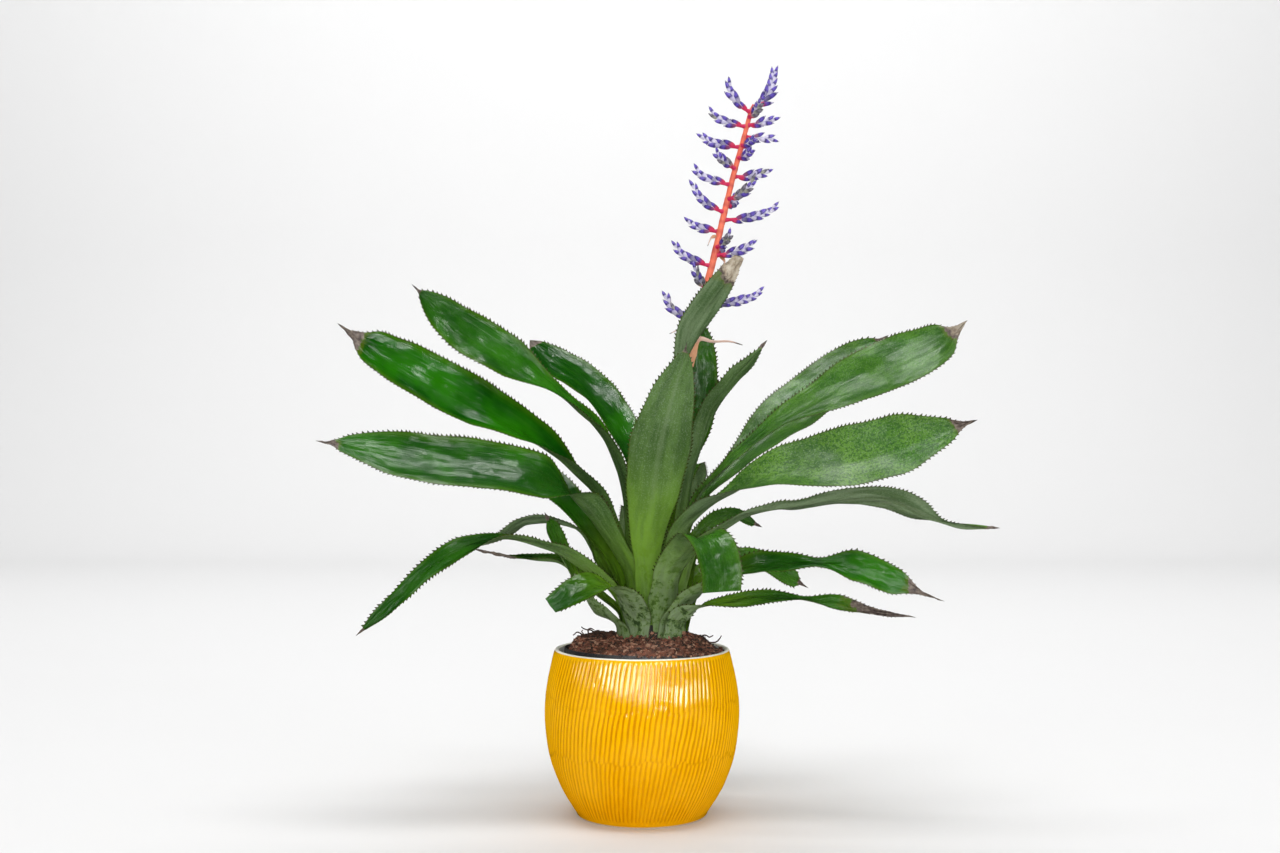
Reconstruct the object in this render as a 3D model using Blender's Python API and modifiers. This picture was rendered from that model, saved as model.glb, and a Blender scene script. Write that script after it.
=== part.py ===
"""Potted aechmea: a bromeliad in flower, in a plastic grower pot that stands in a ribbed, glazed
ceramic pot.

Metres, +Z up. The origin is the centre of the ceramic pot's flat underside. -Y is the plant's
front, which the photograph shows, and +X is to its right. Tables of places are in millimetres.
"""
import math

import bmesh
import bpy
import numpy as np
from mathutils import Matrix, Vector

MM = 0.001
GAP = 0.0003

# Ceramic pot
POT_HEIGHT = 0.141
POT_MOUTH_RADIUS = 0.0754
POT_WALL = 0.0045
POT_FLOOR = 0.006
POT_FACETS = 96
RIB_DEPTH = 0.0011
RIB_LEAN = math.radians(6)
RIB_LOW = 0.0085
RIB_HIGH = 0.1345
POT_PROFILE = (
    (75.4, 139.6), (76.6, 134.5), (80.8, 116.0), (83.2, 97.0), (82.9, 75.0),
    (79.4, 50.0), (71.5, 28.0), (59.6, 8.5), (56.6, 5.0), (56.0, 0.0),
)
POT_INSIDE = ((0.0, 6.0), (51.5, 6.0), (77.0, 70.0), (77.0, 100.0))
LIP_ROUND = 0.0012

# Grower pot and soil
LINER_TOP_RADIUS = 0.067
LINER_FOOT_RADIUS = 0.0475
LINER_TOP = 0.1395
LINER_WALL = 0.0012
LINER_BAND = 0.0085
LINER_STEP = 0.0015
LINER_SIDES = 24
SOIL_PROFILE = (
    (15.1, 149.2), (24.0, 149.3), (33.0, 148.2), (46.0, 148.7), (55.0, 147.6), (61.5, 142.5),
)
SOIL_LUMP = 0.0010
SOIL_FLAT_RADIUS = 0.030
SOIL_SHIFT_RADIUS = 0.040
STEM_HOLE_DEPTH = 0.040

# Crown: a short stem, and the sheaths that nest round it
CROWN_X = 0.010
STEM_RADIUS = 0.0148
STEM_SIDES = 18
STEM_TOP = 0.1853
STEM_CLEARANCE = 0.0009
SHEATH_RANKS = 13
SHEATH_CORE = 0.00825
SHEATH_STEP = 0.00175
SHEATH_FLARE = 0.12
SHEATH_BASE = 0.1500
SHEATH_RISE = 0.0028

# Leaves
LEAF_THICKNESS = 0.00065
LEAF_COLUMNS = 4
TOOTH_LENGTH = 0.0021
TOOTH_BASE = 0.0048
TOOTH_START = 0.30
TIP_CROWDING = 1.2

# Flower stalk and branches
SCAPE_RADII = (0.0034, 0.0031, 0.0018)
STALK_RADIUS = 0.0010
FLORET_SIDES = 3
FLORET_LENGTH = 0.0130
FLORET_RADIUS = 0.0034
FLORET_PITCH = 0.0050
FLORET_ROOT = 0.0013
BRACT_SEAT = 0.0005

SCAPE_PATH = (
    (10, 0, 185.6), (12, 0, 220), (16, 0, 251), (26, 0, 304), (36, 0, 356), (44, 0, 399),
    (53, 0, 444), (62, 0, 477), (69, 0, 507), (79, 0, 549), (89, 0, 585), (97, 0, 615),
)


class Leaf:
    """One leaf: its rank (13 is outermost), blade width, the points that its middle runs through
    and the directions its upper face looks in, each at a share of its length."""

    def __init__(self, name, rank, half_width, points, faces, stations=11, cut=False, neck=12.0,
                 wrap=50, taper=(0.95, 0.66)):
        self.name = name
        self.rank = rank
        self.half_width = half_width
        self.points = points
        self.faces = faces
        self.stations = stations
        self.cut = cut
        self.neck = neck
        self.wrap = math.radians(wrap)
        self.taper = taper


TO_CAMERA = (0.05, -0.80, 0.60)
UP = (0.0, -0.15, 1.0)

LEAVES = (
    Leaf("leaf_01_cut_left", 12, 17,
         ((-12, -42, 188), (-20, -52, 198), (-35, -62, 203), (-52, -72, 197), (-74, -80, 185)),
         ((0.3, 0.5, 0.6, 0.6), (0.7, 0.2, -0.4, 0.9), (1.0, 0.1, -0.7, 0.7)), 8, cut=True, wrap=30),
    Leaf("leaf_02_low_right", 13, 9,
         ((28, -30, 169), (49, -38, 181), (78, -46, 186), (106, -52, 190), (131, -56, 189),
          (159, -60, 187), (188, -64, 179), (218, -66, 172)),
         ((0.3, -0.5, 0.4, 0.7), (0.55, 0.0, 0.0, 1.0), (0.75, *TO_CAMERA)), 11, neck=7, wrap=28),
    Leaf("leaf_03_short_left", 13, 12,
         ((-40, -12, 177), (-58, -15, 205), (-70, -16, 231), (-81, -18, 254)),
         ((0.4, 0.7, -0.5, 0.4), (1.0, 0.7, -0.6, 0.4)), 8, wrap=34),
    Leaf("leaf_04_edge_left", 11, 13,
         ((-42, 10, 190), (-70, 20, 215), (-98, 26, 218), (-121, 28, 219), (-145, 28, 224)),
         ((0.4, *UP), (1.0, *UP)), 8, wrap=30),
    Leaf("leaf_05_low_back_right", 13, 14,
         ((51, 25, 202), (83, 40, 216), (111, 50, 212), (147, 60, 190)),
         ((0.4, -0.3, -0.4, 0.8), (1.0, *TO_CAMERA)), 9, wrap=33),
    Leaf("leaf_06_tail_right", 11, 16,
         ((40, -35, 188), (61, -45, 203), (86, -52, 215), (114, -58, 219), (147, -62, 219),
          (179, -68, 215), (206, -74, 204), (226, -80, 196), (239, -84, 192)),
         ((0.3, -0.4, 0.4, 0.8), (0.52, 0.0, 0.0, 1.0), (0.7, *TO_CAMERA)), 11, wrap=34),
    Leaf("leaf_07_drooping_left", 10, 13,
         ((-30, -25, 199), (-52, -35, 217), (-79, -45, 232), (-111, -55, 240), (-141, -66, 235),
          (-171, -78, 217), (-195, -88, 194), (-224, -98, 167)),
         ((0.3, 0.4, 0.5, 0.7), (0.5, 0.0, 0.1, 1.0), (0.7, *TO_CAMERA)), 11, wrap=34),
    Leaf("leaf_08_low_back", 12, 20,
         ((8, 50, 215), (4, 90, 248), (0, 140, 258), (-4, 185, 240), (-8, 215, 205)),
         ((0.4, 0.0, -0.3, 1.0), (1.0, 0.0, 0.5, 0.9)), 10, wrap=40),
    Leaf("leaf_09_narrow_left", 9, 10,
         ((-31, 10, 207), (-50, 18, 238), (-77, 25, 250), (-104, 32, 249), (-123, 38, 238),
          (-155, 44, 225)),
         ((0.4, *UP), (1.0, 0.0, -0.4, 1.0)), 9),
    Leaf("leaf_10_small_right", 10, 9,
         ((47, 25, 233), (65, 40, 250), (84, 50, 255), (105, 58, 245)),
         ((0.4, -0.3, -0.5, 0.8), (1.0, 0.0, -0.7, 0.7)), 8, neck=9),
    Leaf("leaf_11_cut_right", 9, 20,
         ((23, -44, 211), (38, -62, 233), (47, -76, 243), (56, -90, 236), (62, -97, 218),
          (63, -98, 198)),
         ((0.3, -0.3, 0.8, 0.3), (0.7, 0.1, 0.1, 1.0), (1.0, 0.8, -0.5, 0.3)), 9, cut=True, wrap=40),
    Leaf("leaf_12_spreading_right", 8, 15,
         ((48, -13, 231), (66, -14, 243), (89, -12, 257), (115, -10, 263), (136, -8, 264),
          (180, -5, 272), (215, 0, 269), (247, 5, 256), (278, 8, 246), (308, 10, 244)),
         ((0.3, -0.4, 0.2, 0.9), (0.6, 0.0, -0.35, 1.0), (1.0, *TO_CAMERA)), 11, wrap=42),
    Leaf("leaf_13_mid_back", 7, 22,
         ((22, 45, 250), (30, 85, 285), (38, 130, 300), (44, 175, 290), (48, 215, 262)),
         ((0.4, 0.0, -0.3, 1.0), (1.0, 0.0, 0.4, 0.9)), 10),
    Leaf("leaf_14_behind_left", 8, 17,
         ((-32, 12, 226), (-55, 20, 257), (-82, 28, 284), (-114, 36, 302), (-147, 42, 306)),
         ((0.4, 0.3, -0.6, 0.7), (1.0, *TO_CAMERA)), 9),
    Leaf("leaf_15_wide_left", 6, 26,
         ((-34, -38, 251), (-51, -55, 274), (-79, -70, 288), (-123, -85, 298), (-170, -95, 303),
          (-213, -100, 311), (-254, -105, 318)),
         ((0.3, 0.5, 0.6, 0.5), (0.47, 0.0, 0.0, 1.0), (0.62, *TO_CAMERA)), 12, neck=10, wrap=40),
    Leaf("leaf_16_wide_right", 6, 28,
         ((31, -29, 240), (51, -37, 264), (80, -46, 283), (110, -54, 295), (147, -62, 302),
          (187, -70, 310), (226, -78, 321), (266, -85, 334)),
         ((0.3, -0.5, 0.3, 0.7), (0.5, -0.3, -0.5, 0.8), (0.7, *TO_CAMERA)), 12, neck=10, wrap=40),
    Leaf("leaf_17_high_back", 3, 21,
         ((8, 38, 275), (12, 60, 308), (16, 92, 335), (20, 130, 348), (22, 170, 335),
          (22, 200, 305)),
         ((0.4, 0.0, -0.5, 0.8), (1.0, 0.0, 0.5, 0.9)), 10),
    Leaf("leaf_18_glossy_left", 5, 27,
         ((-33, -18, 267), (-48, -25, 288), (-69, -32, 310), (-102, -42, 332), (-147, -55, 355),
          (-191, -65, 379), (-226, -72, 398), (-244, -75, 413)),
         ((0.3, 0.7, 0.3, 0.5), (0.45, 0.5, -0.3, 0.8), (0.65, 0.3, -0.8, 0.6)), 12),
    Leaf("leaf_19_speckled_right", 5, 28,
         ((47, -12, 269), (66, -15, 293), (90, -18, 317), (123, -22, 341), (161, -28, 361),
          (201, -34, 380), (242, -40, 398), (272, -46, 417)),
         ((0.3, -0.7, -0.1, 0.5), (0.5, -0.4, -0.6, 0.7), (0.7, -0.2, -0.8, 0.6)), 12, neck=9, wrap=40),
    Leaf("leaf_20_high_left", 4, 22,
         ((-14, -4, 269), (-18, -6, 295), (-29, -8, 323), (-53, -14, 347), (-84, -22, 371),
          (-122, -30, 395), (-155, -36, 416), (-190, -42, 448)),
         ((0.3, 0.8, 0.2, 0.3), (0.55, 0.6, -0.2, 0.7), (0.72, 0.3, -0.85, 0.5)), 12),
    Leaf("leaf_21_high_right", 4, 27,
         ((52, 24, 270), (85, 37, 301), (118, 50, 333), (151, 62, 359), (188, 74, 388),
          (226, 84, 417)),
         ((0.3, -0.6, -0.4, 0.5), (0.6, -0.4, -0.7, 0.6), (1.0, -0.3, -0.8, 0.6)), 11, neck=9, wrap=38),
    Leaf("leaf_22_centre_front", 7, 27,
         ((4, -37, 233), (9, -50, 277), (16, -58, 319), (25, -64, 355), (32, -66, 378),
          (36, -66, 396)),
         ((0.3, 0.0, 1.0, 0.2), (1.0, -0.1, 1.0, 0.1)), 11, neck=11, wrap=36, taper=(0.66, 0.36)),
    Leaf("leaf_23_folded_left", 2, 24,
         ((-3, 20, 295), (-18, 43, 331), (-36, 65, 359), (-57, 80, 380), (-81, 92, 396),
          (-102, 100, 414)),
         ((0.3, 0.5, -0.6, 0.3), (1.0, 0.6, -0.7, 0.5)), 11, wrap=44),
    Leaf("leaf_24_before_stalk", 3, 15,
         ((12, -30, 270), (20, -35, 320), (28, -37, 360), (34, -36, 390), (40, -35, 411),
          (50, -36, 427), (64, -41, 447), (76, -47, 463), (82, -52, 471)),
         ((0.3, 0.0, 1.0, 0.2), (0.62, -0.95, 0.30, 0.2), (0.78, -0.6, 0.8, 0.4), (1.0, -0.5, 0.8, 0.4)),
         12, neck=11),
    Leaf("leaf_25_channelled_right", 2, 10,
         ((42, 8, 295), (52, 5, 330), (61, 0, 351), (80, -5, 375), (93, -8, 388),
          (105, -10, 403)),
         ((0.3, -0.9, -0.1, 0.2), (1.0, -0.6, -0.6, 0.5)), 10, neck=9),
    Leaf("leaf_26_behind_stalk", 1, 16,
         ((24, 27, 286), (46, 31, 326), (52, 31, 360), (52, 32, 393), (51, 35, 430)),
         ((0.3, -0.4, -0.9, 0.1), (1.0, 0.0, -1.0, 0.1)), 10, wrap=26),
)

# Flower branches: name, height of the joint on the stalk, tip (all mm), and side buds' share
BRANCHES = (
    ("flower_01_top", 612.0, (117, -2, 649)),
    ("flower_02_top_left", 608.0, (73, -12, 636)),
    ("flower_03_front", 603.0, (103, -38, 614)),
    ("flower_04_left", 595.0, (56, -5, 611)),
    ("flower_05_right", 596.0, (119, -15, 601)),
    ("flower_06_right", 586.0, (121, 6, 585)),
    ("flower_07_left", 577.0, (49, 8, 592)),
    ("flower_08_bud", 578.0, (99, -24, 582)),
    ("flower_09_bud", 567.0, (96, -26, 571)),
    ("flower_10_front_left", 558.0, (61, -27, 571)),
    ("flower_11_left", 544.0, (43, -8, 560)),
    ("flower_12_right", 551.0, (115, 10, 561)),
    ("flower_13_front_right", 531.0, (98, -32, 546)),
    ("flower_14_left", 520.0, (42, -16, 546)),
    ("flower_15_long_right", 513.0, (122, 6, 529)),
    ("flower_16_left", 503.0, (38, 8, 518)),
    ("flower_17_front", 489.0, (77, -32, 500)),
    ("flower_18_right", 482.0, (100, -10, 496)),
    ("flower_19_long_left", 473.0, (26, -6, 496)),
    ("flower_20_front_left", 453.0, (45, -24, 474)),
    ("flower_21_low_right", 439.0, (109, 16, 455)),
    ("flower_22_low_left", 426.0, (19, 10, 453)),
    ("flower_23_back_high", 571.0, (93, 40, 591)),
    ("flower_24_back_mid", 527.0, (86, 40, 546)),
    ("flower_25_back_low", 486.0, (74, 38, 504)),
)

# Dry bracts: name, half width, height of the root on the stalk, then points to the tip (mm)
BRACTS = (
    ("bract_papery", 4.0, 376.0,
     ((43, -6.5, 393), (49, -8, 408), (61, -8, 406), (76, -8, 406), (87, -7, 403))),
    ("bract_low_left", 1.8, 411.0, ((35, 5, 418), (24, 6, 414))),
    ("bract_mid_left", 1.6, 499.0, ((60, -6, 496), (57, -7, 489))),
    ("bract_mid_right", 1.8, 484.0, ((72, 5, 478), (71, 6, 467))),
)


def empty_scene():
    for item in list(bpy.data.objects):
        bpy.data.objects.remove(item, do_unlink=True)


def material(name, colour, roughness, metallic=0.0):
    made = bpy.data.materials.new(name)
    made.use_nodes = True
    shader = made.node_tree.nodes["Principled BSDF"]
    shader.inputs["Base Color"].default_value = (*colour, 1.0)
    shader.inputs["Roughness"].default_value = roughness
    shader.inputs["Metallic"].default_value = metallic
    return made


def place(name, mesh, look, home, smooth_angle=35):
    item = bpy.data.objects.new(name, mesh)
    home.objects.link(item)
    mesh.materials.clear()
    mesh.materials.append(look)
    mesh.shade_smooth()
    mesh.set_sharp_from_angle(angle=math.radians(smooth_angle))
    return item


def evaluated_mesh(item):
    graph = bpy.context.evaluated_depsgraph_get()
    return bpy.data.meshes.new_from_object(item.evaluated_get(graph), depsgraph=graph)


def turned_mesh(name, profile, steps, home):
    """Turns a profile, listed down the outer side, once round Z."""
    outline = bpy.data.meshes.new(name + "_profile")
    points = [(radius, 0.0, height) for radius, height in profile]
    outline.from_pydata(points, [(i, i + 1) for i in range(len(points) - 1)], [])
    item = bpy.data.objects.new(name + "_profile", outline)
    home.objects.link(item)
    screw = item.modifiers.new("Turn", "SCREW")
    screw.steps = steps
    screw.render_steps = steps
    screw.use_merge_vertices = True
    screw.merge_threshold = 0.00001
    mesh = evaluated_mesh(item)
    bpy.data.objects.remove(item)
    weld(mesh)
    return mesh


def weld(mesh, distance=0.00001):
    shape = bmesh.new()
    shape.from_mesh(mesh)
    bmesh.ops.remove_doubles(shape, verts=shape.verts, dist=distance)
    bmesh.ops.recalc_face_normals(shape, faces=shape.faces)
    shape.to_mesh(mesh)
    shape.free()


def millimetres(table):
    return [tuple(value * MM for value in row) for row in table]


def pot_radius(height):
    """Outer radius of the pot's wall, without its ribs."""
    rows = POT_PROFILE[::-1]
    return float(np.interp(height / MM, [row[1] for row in rows], [row[0] for row in rows])) * MM


def ribbed(mesh):
    """Raises the leaning, hand-combed ribs on the pot's outer wall, and turns the rest with them."""
    turn_rate = math.tan(RIB_LEAN) / pot_radius(0.5 * POT_HEIGHT)
    for vertex in mesh.vertices:
        radius = math.hypot(vertex.co.x, vertex.co.y)
        height = vertex.co.z
        column = round(math.atan2(vertex.co.y, vertex.co.x) / math.tau * POT_FACETS)
        turned = min(max(height, RIB_LOW), RIB_HIGH) - RIB_LOW
        vertex.co = Matrix.Rotation(turned * turn_rate, 3, "Z") @ vertex.co
        outside = abs(radius - pot_radius(height)) < 0.5 * POT_WALL
        if outside and RIB_LOW + MM < height < RIB_HIGH + MM:
            lift = RIB_DEPTH * (0.5 if column % 2 else -0.5)
            vertex.co.x *= (radius + lift) / radius
            vertex.co.y *= (radius + lift) / radius


def build_pot(home, spare):
    look = material("yellow_glaze", (0.78, 0.42, 0.015), 0.12)
    lip = [(POT_MOUTH_RADIUS - 0.8 * POT_WALL, POT_HEIGHT), (POT_MOUTH_RADIUS - LIP_ROUND, POT_HEIGHT)]
    profile = millimetres(POT_INSIDE) + lip + millimetres(POT_PROFILE) + [(0.0, 0.0)]
    mesh = turned_mesh("pot", profile, POT_FACETS, spare)
    ribbed(mesh)
    return place("pot", mesh, look, home, 28)


def build_liner(home, spare):
    look = material("dark_plastic", (0.016, 0.016, 0.017), 0.45)
    floor = POT_FLOOR + GAP
    band = LINER_TOP - LINER_BAND
    shoulder = LINER_TOP_RADIUS - LINER_STEP
    outer = [(LINER_TOP_RADIUS, LINER_TOP), (LINER_TOP_RADIUS, band + 0.5 * MM), (shoulder, band),
             (LINER_FOOT_RADIUS, floor), (0.0, floor)]
    inner = [(0.0, floor + LINER_WALL), (LINER_FOOT_RADIUS - LINER_WALL, floor + LINER_WALL),
             (shoulder - LINER_WALL, band), (LINER_TOP_RADIUS - LINER_WALL, LINER_TOP)]
    mesh = turned_mesh("liner", inner + outer, LINER_SIDES, spare)
    return place("liner", mesh, look, home)


def build_soil(home, spare):
    """Soil that fills the grower pot, heaped and lumpy on top, with a plain hole for the stem."""
    look = material("soil", (0.045, 0.028, 0.018), 0.95)
    floor = POT_FLOOR + LINER_WALL + 2 * GAP
    band = LINER_TOP - LINER_BAND - GAP
    side = LINER_TOP_RADIUS - LINER_STEP - LINER_WALL - 2 * GAP
    foot = LINER_FOOT_RADIUS - LINER_WALL - 3 * GAP
    top = millimetres(SOIL_PROFILE)
    hole = STEM_RADIUS + GAP
    hole_floor = top[0][1] - STEM_HOLE_DEPTH
    profile = [(0.0, hole_floor), (hole, hole_floor), (hole, top[0][1])] + top[1:]
    mesh = turned_mesh("soil", profile + [(side, band), (foot, floor), (0.0, floor)], LINER_SIDES, spare)
    for vertex in mesh.vertices:
        radius = math.hypot(vertex.co.x, vertex.co.y)
        angle = math.atan2(vertex.co.y, vertex.co.x)
        if radius > SOIL_FLAT_RADIUS and vertex.co.z > band + 2 * MM:
            wave = math.sin(5 * angle + 90 * radius) + 0.6 * math.sin(11 * angle)
            vertex.co.z += SOIL_LUMP * wave
        vertex.co.x += CROWN_X * min(1.0, max(0.0, (SOIL_SHIFT_RADIUS - radius) / (7 * MM)))
    return place("soil", mesh, look, home, 60)


def sheath_radius(rank, height):
    return SHEATH_CORE + SHEATH_STEP * rank + SHEATH_FLARE * (height - SHEATH_BASE)


def sheath_foot(rank):
    return SHEATH_BASE + (SHEATH_RANKS - rank) * SHEATH_RISE


def build_stem(home, spare):
    """The short, thick stem: a cone that carries the sheaths, over a stub in the soil's hole."""
    look = material("stem", (0.25, 0.30, 0.10), 0.7)
    inset = 0.5 * LEAF_THICKNESS + STEM_CLEARANCE
    cone = []
    for rank in range(1, SHEATH_RANKS + 1, 3):
        height = sheath_foot(rank)
        cone.append((sheath_radius(rank, height) - inset, height))
    soil_top = SOIL_PROFILE[0][1] * MM
    stub = soil_top - STEM_HOLE_DEPTH + 6 * MM
    profile = [(0.0, STEM_TOP), (0.5 * cone[0][0], STEM_TOP)] + cone
    profile += [(cone[-1][0], soil_top + 2.5 * GAP), (STEM_RADIUS, soil_top + 2 * GAP)]
    profile += [(STEM_RADIUS, stub), (0.0, stub)]
    mesh = turned_mesh("stem", profile, STEM_SIDES, spare)
    mesh.transform(Matrix.Translation((CROWN_X, 0.0, 0.0)))
    return place("stem", mesh, look, home)


def path_samples(points, count, crowding=1.0):
    """Places on a smooth curve through the points, evenly spaced or crowded towards its end."""
    knots = [Vector(point) for point in points]
    tangents = []
    for index in range(len(knots)):
        before = knots[max(index - 1, 0)]
        after = knots[min(index + 1, len(knots) - 1)]
        run = (knots[index] - before).length + (after - knots[index]).length
        tangents.append((after - before) / run)
    dense = []
    for index in range(len(knots) - 1):
        start, end = knots[index], knots[index + 1]
        length = (end - start).length
        for step in range(16):
            t = step / 16
            a = 2 * t**3 - 3 * t**2 + 1
            b = t**3 - 2 * t**2 + t
            c = -2 * t**3 + 3 * t**2
            d = t**3 - t**2
            dense.append(a * start + b * length * tangents[index]
                         + c * end + d * length * tangents[index + 1])
    dense.append(knots[-1])
    reach = [0.0]
    for one, two in zip(dense, dense[1:]):
        reach.append(reach[-1] + (two - one).length)
    wanted = [reach[-1] * (1 - (1 - step / (count - 1)) ** crowding) for step in range(count)]
    columns = [np.interp(wanted, reach, [point[axis] for point in dense]) for axis in range(3)]
    return [Vector(values) for values in zip(*columns)], reach[-1]


def leaf_points(leaf):
    """The middle of a leaf: up its sheath, then through its own points."""
    own = [Vector(point) * MM for point in leaf.points]
    first = own[0]
    azimuth = math.atan2(first.y, first.x - CROWN_X)
    foot = sheath_foot(leaf.rank)
    outward = Vector((math.cos(azimuth), math.sin(azimuth), 0.0))
    axis = Vector((CROWN_X, 0.0, 0.0))
    start = axis + outward * sheath_radius(leaf.rank, foot) + Vector((0, 0, foot))
    middle = foot + 0.45 * (first.z - foot)
    reach = sheath_radius(leaf.rank, middle)
    opening = math.hypot(first.x - CROWN_X, first.y) - reach
    reach += max(0.0, min(0.12 * opening, 0.6 * SHEATH_STEP))
    bend = axis + outward * reach + Vector((0, 0, middle))
    return [start, bend] + own, outward


def half_width(leaf, share, sheath_share, start_radius):
    """Half width along the arc, by the share of the leaf's length."""
    if share < sheath_share:
        sheath = start_radius * leaf.wrap
        return sheath + (leaf.neck * MM - sheath) * smooth(share / sheath_share)
    t = (share - sheath_share) / (1 - sheath_share)
    if leaf.cut:
        table = ((0, leaf.neck), (0.4, leaf.half_width), (1.0, leaf.half_width * 0.86))
    else:
        table = ((0, leaf.neck), (0.30, leaf.half_width * 0.86), (0.55, leaf.half_width),
                 (0.80, leaf.half_width * leaf.taper[0]),
                 (0.92, leaf.half_width * leaf.taper[1]), (1.0, 1.1))
    return float(np.interp(t, [row[0] for row in table], [row[1] for row in table])) * MM


def smooth(value):
    value = min(1.0, max(0.0, value))
    return value * value * (3 - 2 * value)


def curl(share, sheath_share, round_crown):
    """Half angle of the cross-section: round the crown at the sheath, then channelled, then open."""
    table = ((0.0, 42), (sheath_share + 0.15, 42), (sheath_share + 0.3, 32), (0.8, 20), (1.0, 14))
    channel = math.radians(np.interp(share, [row[0] for row in table], [row[1] for row in table]))
    mix = smooth((share - 0.8 * sheath_share) / 0.18)
    return round_crown * (1 - mix) + channel * mix


def face_direction(leaf, share, outward):
    keys = [(0.0, *(-outward)), (0.12, *(-outward))] + list(leaf.faces)
    shares = [key[0] for key in keys]
    return Vector([float(np.interp(share, shares, [key[i] for key in keys])) for i in (1, 2, 3)])


def leaf_mesh(leaf):
    """An open sheet of triangles with forward-pointing teeth along both margins."""
    points, outward = leaf_points(leaf)
    middles, length = path_samples(points, leaf.stations, TIP_CROWDING)
    start_radius = sheath_radius(leaf.rank, points[0].z)
    sheath_share = min(0.40, 0.80 * (points[2] - points[0]).length / length)
    shape = bmesh.new()
    rows = []
    last = len(middles) - 1
    for index, middle in enumerate(middles):
        share = 1 - (1 - index / last) ** TIP_CROWDING
        along = (middles[min(index + 1, last)] - middles[max(index - 1, 0)]).normalized()
        face = face_direction(leaf, share, outward)
        face = (face - along * face.dot(along)).normalized()
        side = along.cross(face)
        width = half_width(leaf, share, sheath_share, start_radius)
        round_crown = width / math.hypot(middle.x - CROWN_X, middle.y)
        angle = curl(share, sheath_share, round_crown)
        radius = width / angle
        open_share = min(1.0, max(0.0, (share - 0.5 * sheath_share) / sheath_share))
        sag = 0.55 * radius * (1 - math.cos(angle)) * open_share
        row = []
        for column in range(LEAF_COLUMNS + 1):
            turn = angle * (2 * column / LEAF_COLUMNS - 1)
            rise = radius * (1 - math.cos(turn)) - sag
            place_at = middle + side * radius * math.sin(turn) + face * rise
            row.append(shape.verts.new(place_at))
        rows.append(row)
    for index in range(last):
        here, there = rows[index], rows[index + 1]
        for column in range(1, LEAF_COLUMNS - 1):
            shape.faces.new((here[column], here[column + 1], there[column + 1]))
            shape.faces.new((here[column], there[column + 1], there[column]))
        share = (index + 0.5) / last
        toothed = share > TOOTH_START and not (leaf.cut and index == last - 1)
        for edge, inner in ((0, 1), (LEAF_COLUMNS, LEAF_COLUMNS - 1)):
            margin_cell(shape, here[inner], here[edge], there[edge], there[inner], toothed)
    mesh = bpy.data.meshes.new(leaf.name)
    shape.to_mesh(mesh)
    shape.free()
    return mesh


def margin_cell(shape, inner_low, edge_low, edge_high, inner_high, toothed):
    """The outermost cell of a leaf's row, with a tooth on its free edge where asked."""
    if not toothed:
        shape.faces.new((inner_low, edge_low, edge_high))
        shape.faces.new((inner_low, edge_high, inner_high))
        return
    run = edge_high.co - edge_low.co
    base = min(TOOTH_BASE / run.length, 0.6)
    outward = (edge_low.co - inner_low.co).normalized()
    root = shape.verts.new(edge_low.co + run * base)
    tip = shape.verts.new(edge_low.co + run * base * 0.9 + outward * TOOTH_LENGTH)
    shape.faces.new((inner_low, edge_low, root))
    shape.faces.new((inner_low, root, inner_high))
    shape.faces.new((inner_high, root, edge_high))
    shape.faces.new((edge_low, tip, root))


def thickened(mesh, name, thickness, spare):
    item = bpy.data.objects.new(name + "_sheet", mesh)
    spare.objects.link(item)
    shape = bmesh.new()
    shape.from_mesh(mesh)
    bmesh.ops.recalc_face_normals(shape, faces=shape.faces)
    shape.to_mesh(mesh)
    shape.free()
    solid = item.modifiers.new("Thickness", "SOLIDIFY")
    solid.thickness = thickness
    solid.offset = 0.0
    result = evaluated_mesh(item)
    bpy.data.objects.remove(item)
    weld(result, 0.0000001)
    return result


def build_leaves(home, spare):
    upper = material("leaf_green", (0.045, 0.13, 0.03), 0.25)
    for leaf in LEAVES:
        mesh = thickened(leaf_mesh(leaf), leaf.name, LEAF_THICKNESS, spare)
        place(leaf.name, mesh, upper, home, 60)


def tube_object(name, points, radii, sides_resolution, home):
    curve = bpy.data.curves.new(name, "CURVE")
    curve.dimensions = "3D"
    curve.bevel_depth = 1.0
    curve.bevel_resolution = sides_resolution
    curve.use_fill_caps = True
    spline = curve.splines.new("POLY")
    spline.points.add(len(points) - 1)
    for knot, point, radius in zip(spline.points, points, radii):
        knot.co = (*point, 1.0)
        knot.radius = radius
    item = bpy.data.objects.new(name, curve)
    home.objects.link(item)
    mesh = evaluated_mesh(item)
    bpy.data.objects.remove(item)
    weld(mesh)
    return mesh


def scape_place(height):
    """Centre and radius of the flower stalk at a height."""
    heights = [row[2] * MM for row in SCAPE_PATH]
    x = float(np.interp(height, heights, [row[0] * MM for row in SCAPE_PATH]))
    share = (height - heights[0]) / (heights[-1] - heights[0])
    radius = float(np.interp(share, (0.0, 0.6, 1.0), SCAPE_RADII))
    return Vector((x, 0.0, height)), radius


def build_scape(home):
    look = material("flower_stalk", (0.72, 0.13, 0.10), 0.45)
    points = [Vector(row) * MM for row in SCAPE_PATH]
    radii = [scape_place(point.z)[1] for point in points]
    mesh = tube_object("scape", points, radii, 1, home)
    return place("scape", mesh, look, home)


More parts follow.
